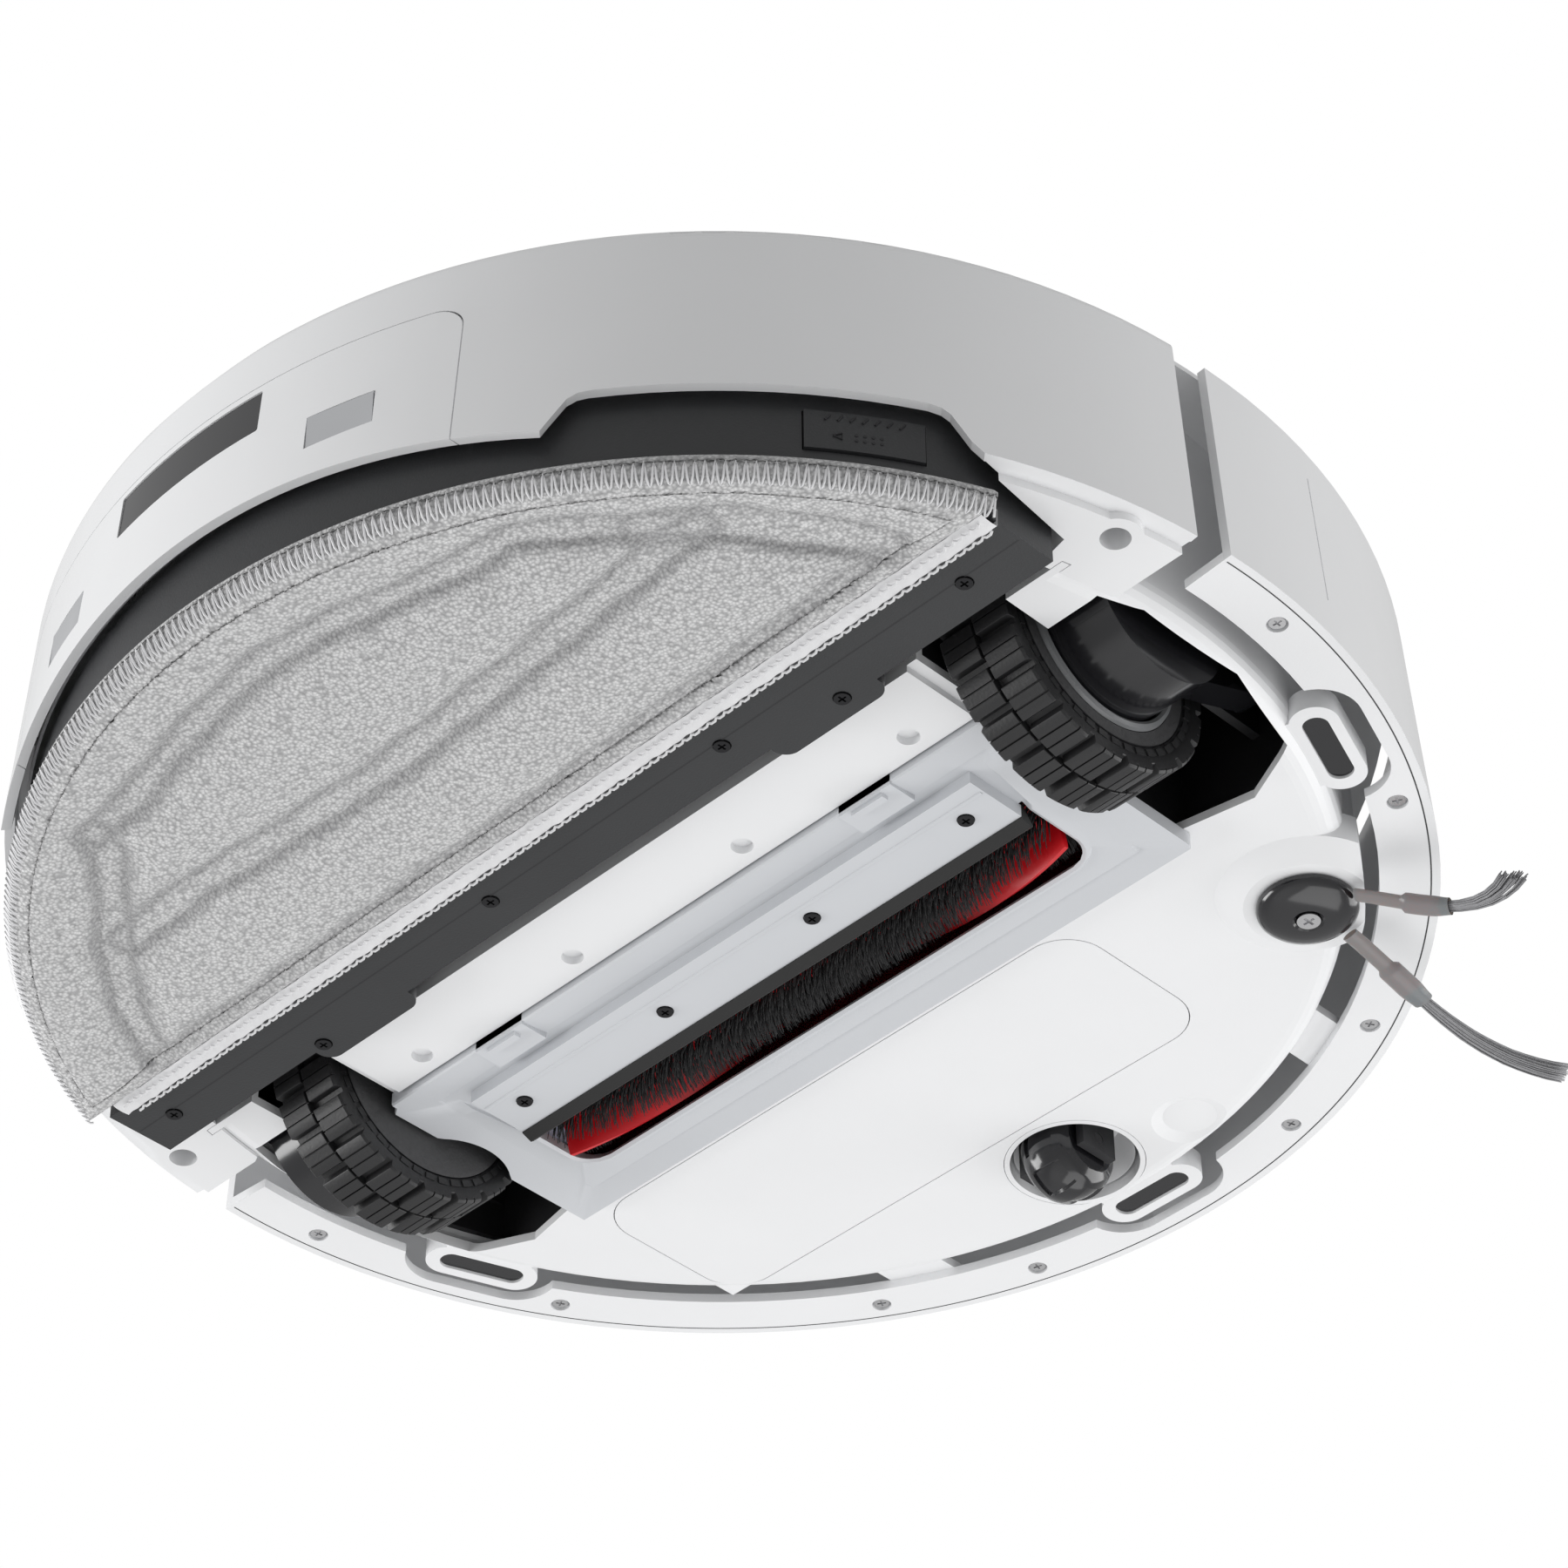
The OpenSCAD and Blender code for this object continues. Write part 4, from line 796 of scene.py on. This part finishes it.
def build_brush():
    """Core with its end stubs and three fins."""
    b = Builder()
    end = BRUSH_HALF
    profile = [(-end, 0.1), (-end, 8.6), (-end + 1.5, BRUSH_CORE_R), (end - 1.5, BRUSH_CORE_R), (end, 8.6),
               (end, 0.1)]
    v, f = along_x(profile, (BRUSH_Y, BRUSH_Z), 48)
    b.put(v, flipped(f), 0)
    xs = np.linspace(-BRUSH_HALF + 0.3, BRUSH_HALF - 0.3, FIN_POINTS)
    for first in FIN_AT:
        mid = brush_angle(first, xs)
        rows = np.stack([on_brush(xs, r, mid + d) for r, d in FIN_SECTION], axis=1)
        m = len(FIN_SECTION)
        faces = flipped(grid_faces(len(xs), m, wrap_cols=True))
        faces += [tuple(range(m)), tuple((len(xs) - 1) * m + i for i in range(m))[::-1]]
        b.put(rows.reshape(-1, 3), faces, 0)
    b.put(*along_x([(-95, 3.9), (-86, 3.9)], (BRUSH_Y, BRUSH_Z), 24), 1)
    b.put(*along_x([(86, 2.95), (91, 2.95)], (BRUSH_Y, BRUSH_Z), 24), 1)
    b.make("brush_fins", "brush_red", body="main_brush", replaces=("brush_core",), smooth=True,
           mats=[M["brush_red"], M["black_plastic"]])


def build_bristles():
    rng = np.random.default_rng(8)
    roots = []
    tips = []
    for first in FIN_AT:
        for spread in np.linspace(*BRISTLE_BANDS):
            x = np.arange(-BRUSH_HALF + 0.8, BRUSH_HALF - 0.8, BRISTLE_PITCH)
            x = x + rng.uniform(-0.3, 0.3, len(x))
            deg = brush_angle(first, x) + spread
            roots.append(on_brush(x, BRISTLE_ROOT, deg + rng.uniform(-2, 2, len(x))))
            reach = rng.uniform(16.6, 17.8, len(x))
            lean = rng.uniform(-4.5, 4.5, len(x)) + 3
            tips.append(on_brush(x + rng.uniform(-0.7, 0.7, len(x)), reach, deg + lean))
    v, f = strands(np.vstack(roots), np.vstack(tips), BRISTLE_R, 0.55)
    add("brush_bristle_rows", v, f, "bristle_black", body="main_brush", replaces=("brush_bristles",),
        smooth="all")


build_brush()
build_bristles()


# ---------- side brush ----------

SIDE_X = -110.0
SIDE_Y = -90.0
SIDE_ROOT = 13.1  # from the axis to the root of an arm
TUFT_HAIRS = 64


def arm_point(deg, sweep, reach, u):
    """Middle of an arm at share u of its length: it sweeps sideways and hangs down."""
    d = SIDE_ROOT + (reach - SIDE_ROOT) * u
    a = math.radians(deg + sweep * u * (1 - u))
    return (SIDE_X + d * math.cos(a), SIDE_Y + d * math.sin(a), 5.6 - 2.4 * u - 9.6 * u * (2 - u) * 0.92)


def build_sleeve(name, tag, body, deg, sweep, reach, sleeve):
    """The rubber arm, open at its outer end."""
    b = Builder()
    us = np.linspace(0, sleeve, 26)
    path = np.array([arm_point(deg, sweep, reach, u) for u in us])
    share = us / sleeve
    wide = (np.where(share < 0.5, 2.3, 3.0) + 0.25 * smoothstep((share - 0.45) / 0.1)
            - 0.5 * smoothstep((share - 0.8) / 0.2))
    v, f = tube(path, wide, 14, np.where(share < 0.5, 0.5, 0.62))
    b.put(v, f[:-1])
    # the open end of the sleeve and the glue round the bristles
    end = np.array([arm_point(deg, sweep, reach, sleeve - 0.035 * k) for k in (0, 0.6, 1.6)])
    v, f = tube(end, (2.55, 2.2, 2.1), 14, 0.62)
    b.put(v, flipped(f[:-2]) + [f[-1]])
    b.make(name + "_sleeve", "arm_rubber", body=body, replaces=("side_arm_" + tag,), smooth=True)


def build_tuft(name, tag, body, deg, sweep, reach, sleeve, seed):
    """Bristles that come out of the sleeve and spread."""
    rng = np.random.default_rng(seed)
    us = np.linspace(sleeve - 0.04, 1.0, 9)
    centre = np.array([arm_point(deg, sweep, reach, u) for u in us])
    side, up = frames_along(centre)
    h = Builder()
    for _ in range(TUFT_HAIRS):
        a = rng.uniform(0, 2 * math.pi)
        rad = math.sqrt(rng.uniform(0, 1))
        ox = rad * math.cos(a)
        oz = rad * math.sin(a)
        grow = np.linspace(0, 1, len(us)) ** 1.2
        width = 1.6 + 2.6 * grow
        height = 0.9 + 0.75 * grow
        wave = 0.25 * np.sin(np.linspace(0, 2.5, len(us)) + rng.uniform(0, 6))
        stop = rng.uniform(0.93, 1.0)
        line = centre + side * (ox * width + wave * grow)[:, None] + up * (oz * height)[:, None]
        line = resample(line, 3.5)
        keep = max(int(len(line) * stop), 3)
        v, f = tube(line[:keep], np.linspace(0.26, 0.19, keep), 4)
        h.put(v, f)
    h.make(name + "_bristles", "tuft_grey", body=body, replaces=("side_tuft_" + tag,), smooth="all")


# name, node tag, angle, sweep, reach, share of the sleeve, seed
for name, tag, deg, sweep, reach, sleeve, seed in (("side_arm_short", "a", 190, 55, 56, 0.5, 21),
                                                   ("side_arm_long", "b", 260.5, 25, 86, 0.36, 22)):
    build_sleeve(name, tag, name, deg, sweep, reach, sleeve)
    build_tuft(name, tag, name, deg, sweep, reach, sleeve, seed)


def build_side_hub():
    """Domed cap with a round well for its screw, and its shaft."""
    profile = [(2.0, 5.3), (3.1, 5.2), (3.25, 4.0), (3.9, 3.55), (5.2, 3.65), (7.4, 4.0), (9.6, 4.65),
               (11.3, 5.5), (12.2, 6.4), (12.5, 7.2), (12.4, 8.1), (12.0, 8.2)]
    b = Builder()
    v, f = about_z(profile, (SIDE_X, SIDE_Y), 96)
    b.put(v, f)
    v, f = about_z([(2.95, 8.0), (2.95, 24.5)], (SIDE_X, SIDE_Y), 32)
    b.put(v, f)
    b.make("side_brush_cap", "gloss_black", body="side_brush", replaces=("side_brush_hub",), smooth=True)


build_side_hub()


# ---------- caster ----------

CASTER_X = 3.0
CASTER_Y = -130.5
CASTER_R = 12.5
TRAIL = 3.0  # from the swivel to the roller's axle
BARREL_HALF = 7.9
NOTCH_EVERY = 60  # degrees
NOTCH_DEEP = 0.75
AXLE_HALF = 11
AXLE_R = 1.6


def build_caster():
    """Barrel-shaped roller with flats pressed into its middle, on its axle."""
    c = (CASTER_Y + TRAIL, CASTER_R)
    b = Builder()
    xs = [-7.9, -7.6, -7.0, -6.0, -5.0, -4.6, -4.3, -3, -1.5, 0, 1.5, 3, 4.3, 4.6, 5.0, 6.0, 7.0, 7.6, 7.9]
    turn = np.linspace(0, 360, 144, endpoint=False)
    rings = []
    for a in turn:
        off = min(abs((a % NOTCH_EVERY) - NOTCH_EVERY / 2), NOTCH_EVERY / 2)
        ring = []
        for x in xs:
            r = CASTER_R - 0.15 - 3.2 * (abs(x) / BARREL_HALF) ** 2.2 - (1.2 if abs(x) > 7.5 else 0)
            if off < 19 and abs(x) < 4.5:
                r -= NOTCH_DEEP
            ring.append((CASTER_X + x, c[0] + r * math.sin(math.radians(a)),
                         c[1] - r * math.cos(math.radians(a))))
        rings.append(ring)
    v = np.array(rings).reshape(-1, 3)
    f = grid_faces(len(turn), len(xs), wrap_rows=True)
    for end in (0, len(xs) - 1):
        cap = tuple(i * len(xs) + end for i in range(len(turn)))
        f.append(cap if end == 0 else cap[::-1])
    b.put(v, flipped(f))
    low = CASTER_X - AXLE_HALF
    high = CASTER_X + AXLE_HALF
    v, f = along_x([(low, 0.05), (low, AXLE_R), (high, AXLE_R), (high, 0.05)], c, 20)
    b.put(v, flipped(f))
    b.make("caster_barrel", "gloss_black", body="caster_roller", replaces=("caster_wheel",), smooth=True)


build_caster()


# ---------- frame round the main brush ----------

def guard_ring(hx, back, front, z, corner=0.0, k=48):
    """Points round the frame: back, starboard, front, port.

    hx is half its width, or None for the outside edge, which dips in beside the wheels.
    z holds one height for each of back, side and front.
    """
    u = np.linspace(0, 1, k, endpoint=False)
    zb, zs, zf = z
    bow = hx is None
    h = 104.6 if bow else hx
    side_y = back + (front - back) * u
    side_x = np.full(k, h)
    if bow:
        dip = np.maximum(0, 17.5 ** 2 - (side_y + 14) ** 2)
        side_x = np.minimum(105.6, 118 - np.sqrt(dip))
        side_x = np.where(u == 0, 103.5, side_x)
    first = side_x[0]
    start = smoothstep(u / 0.12)
    end = smoothstep((u - 0.88) / 0.12)
    ring = [np.stack([first - 2 * first * u, np.full(k, back), np.full(k, zb)], 1),
            np.stack([-side_x, side_y, zb + (zs - zb) * start + (zf - zs) * end], 1),
            np.stack([-h + 2 * h * u, np.full(k, front), np.full(k, zf)], 1),
            np.stack([side_x[::-1], side_y[::-1] + (front - back) / k,
                      zf + (zs - zf) * start + (zb - zs) * end], 1)]
    p = np.vstack(ring)
    if corner:
        for sx in (-1, 1):
            c = np.array([sx * (h - corner), front + corner])
            far = (p[:, 0] * sx > h - corner) & (p[:, 1] < front + corner)
            d = p[far, :2] - c
            p[far, :2] = c + d / np.linalg.norm(d, axis=1, keepdims=True) * corner
    return p


# the frame's section, from its outside edge over the lip and up inside:
# half width, back edge, front edge, heights at back, side and front, corner radius
GUARD_RINGS = [
    (None, 14.8, -54, (11.9, 11.9, 11.9)),
    (None, 14.8, -54, (8.5, 8.5, 8.5)),
    (None, 14.4, -53.6, (8.05, 8.05, 8.05)),
    (95.0, 6.6, -46.8, (9.0, 8.9, 9.7)),
    (94.6, 6.2, -46.5, (9.5, 8.9, 9.1)),
    (91.0, 3.6, -41.4, (9.5, 8.8, 8.9), 12),
    (89.2, -12, -40.8, (9.5, 8.3, 8.15), 9.5),
    (88.5, -13, -40.0, (9.5, 8.0, 8.0), 8.5),
    (87.6, -13.5, -39.1, (9.5, 8.5, 8.5), 7.5),
    (88.6, -12.0, -41.6, (11.9, 11.9, 11.9), 7),
]
RIB_HALF = 85.8
RIB_Y = -1.4
RIB_Z = 6.1


def build_guard():
    """Frame with sloped sides and a raised lip round its opening, and the rib of the scraper."""
    rings = [guard_ring(*row) for row in GUARD_RINGS]
    n = len(rings[0])
    add("guard_frame", np.vstack(rings), grid_faces(len(rings), n, wrap_cols=True), "guard_grey",
        body="chassis", replaces=("brush_guard",), smooth=True)
    v, f = tube([(-RIB_HALF, RIB_Y, RIB_Z), (RIB_HALF, RIB_Y, RIB_Z)], 0.6, 10, 0.7)
    add("scraper_rib", v, f, "guard_grey", body="chassis", smooth=True)


build_guard()


# ---------- seams and small parts ----------

def ribbon(name, body, points, wide, slot_name):
    """Narrow dark line lying on a downward face."""
    p = np.asarray(points, float)
    t = np.gradient(p, axis=0)
    side = np.stack([-t[:, 1], t[:, 0], np.zeros(len(p))], 1)
    side /= np.linalg.norm(side, axis=1, keepdims=True)
    v = np.stack([p - side * wide / 2, p + side * wide / 2], 1).reshape(-1, 3)
    add(name, v, grid_faces(len(p), 2), slot_name, body=body, smooth=False)


def arc_points(r, z, a0, a1, n=160):
    a = np.radians(np.linspace(a0, a1, n))
    return np.stack([r * np.cos(a), r * np.sin(a), np.full(n, z)], 1)


BUMPER_SEAM = arc_points(172.4, 14.77, 176.9, 363.1)
BAR_SEAM = [(-151.8, 56.4, 3.97), (151.8, 56.4, 3.97)]
ribbon("bumper_edge_seam", "bumper", BUMPER_SEAM, 0.35, "charcoal_plastic")
ribbon("mount_bar_seam", "mop", BAR_SEAM, 0.4, "black_plastic")


def build_caster_disc():
    """Sloped disc over the caster that turns with it."""
    v, f = about_z([(15.7, 14.6), (15.3, 15.6), (12.6, 24.6), (0.1, 25.4)], (CASTER_X, CASTER_Y), 72)
    add("caster_disc", v, f, "white_belly", body="caster", smooth=True)


build_caster_disc()


RELEASE_AT = 56.5  # degrees from straight behind
BULGE = 340  # twice the radius of the face


def build_release(side, s):
    """Marks on a release button: a row of ridges, two rows of dots and an arrow head."""
    b = Builder()
    turn = math.radians(RELEASE_AT)
    out = np.array([s * math.sin(turn), math.cos(turn)])
    along = np.array([s * math.cos(turn), -math.sin(turn)])

    def at(x, r, z):
        q = along * x + out * r
        return (q[0], q[1], z)

    for k in range(7):
        x = -8.4 + 2.8 * k
        r = 169.9 - x * x / BULGE
        b.put(*tube([at(x - 0.6, r, 21.0), at(x + 0.6, r, 22.6)], 0.28, 8))
    for k in range(4):
        x = -2.0 + 1.9 * k
        for z in (15.6, 17.2):
            b.put(*tube([at(x, 169.4 - x * x / BULGE, z), at(x, 169.95 - x * x / BULGE, z)], 0.42, 10))
    arrow = [at(-7.2, 169.8, 16.4), at(-5.2, 169.85, 17.3), at(-5.2, 169.85, 15.5), at(-7.2, 169.8, 16.4)]
    b.put(*tube(arrow, 0.22, 8))
    b.make("release_marks_" + side, "black_plastic", body="release_" + side, smooth=True)


for side, s in (("port", 1), ("starboard", -1)):
    build_release(side, s)
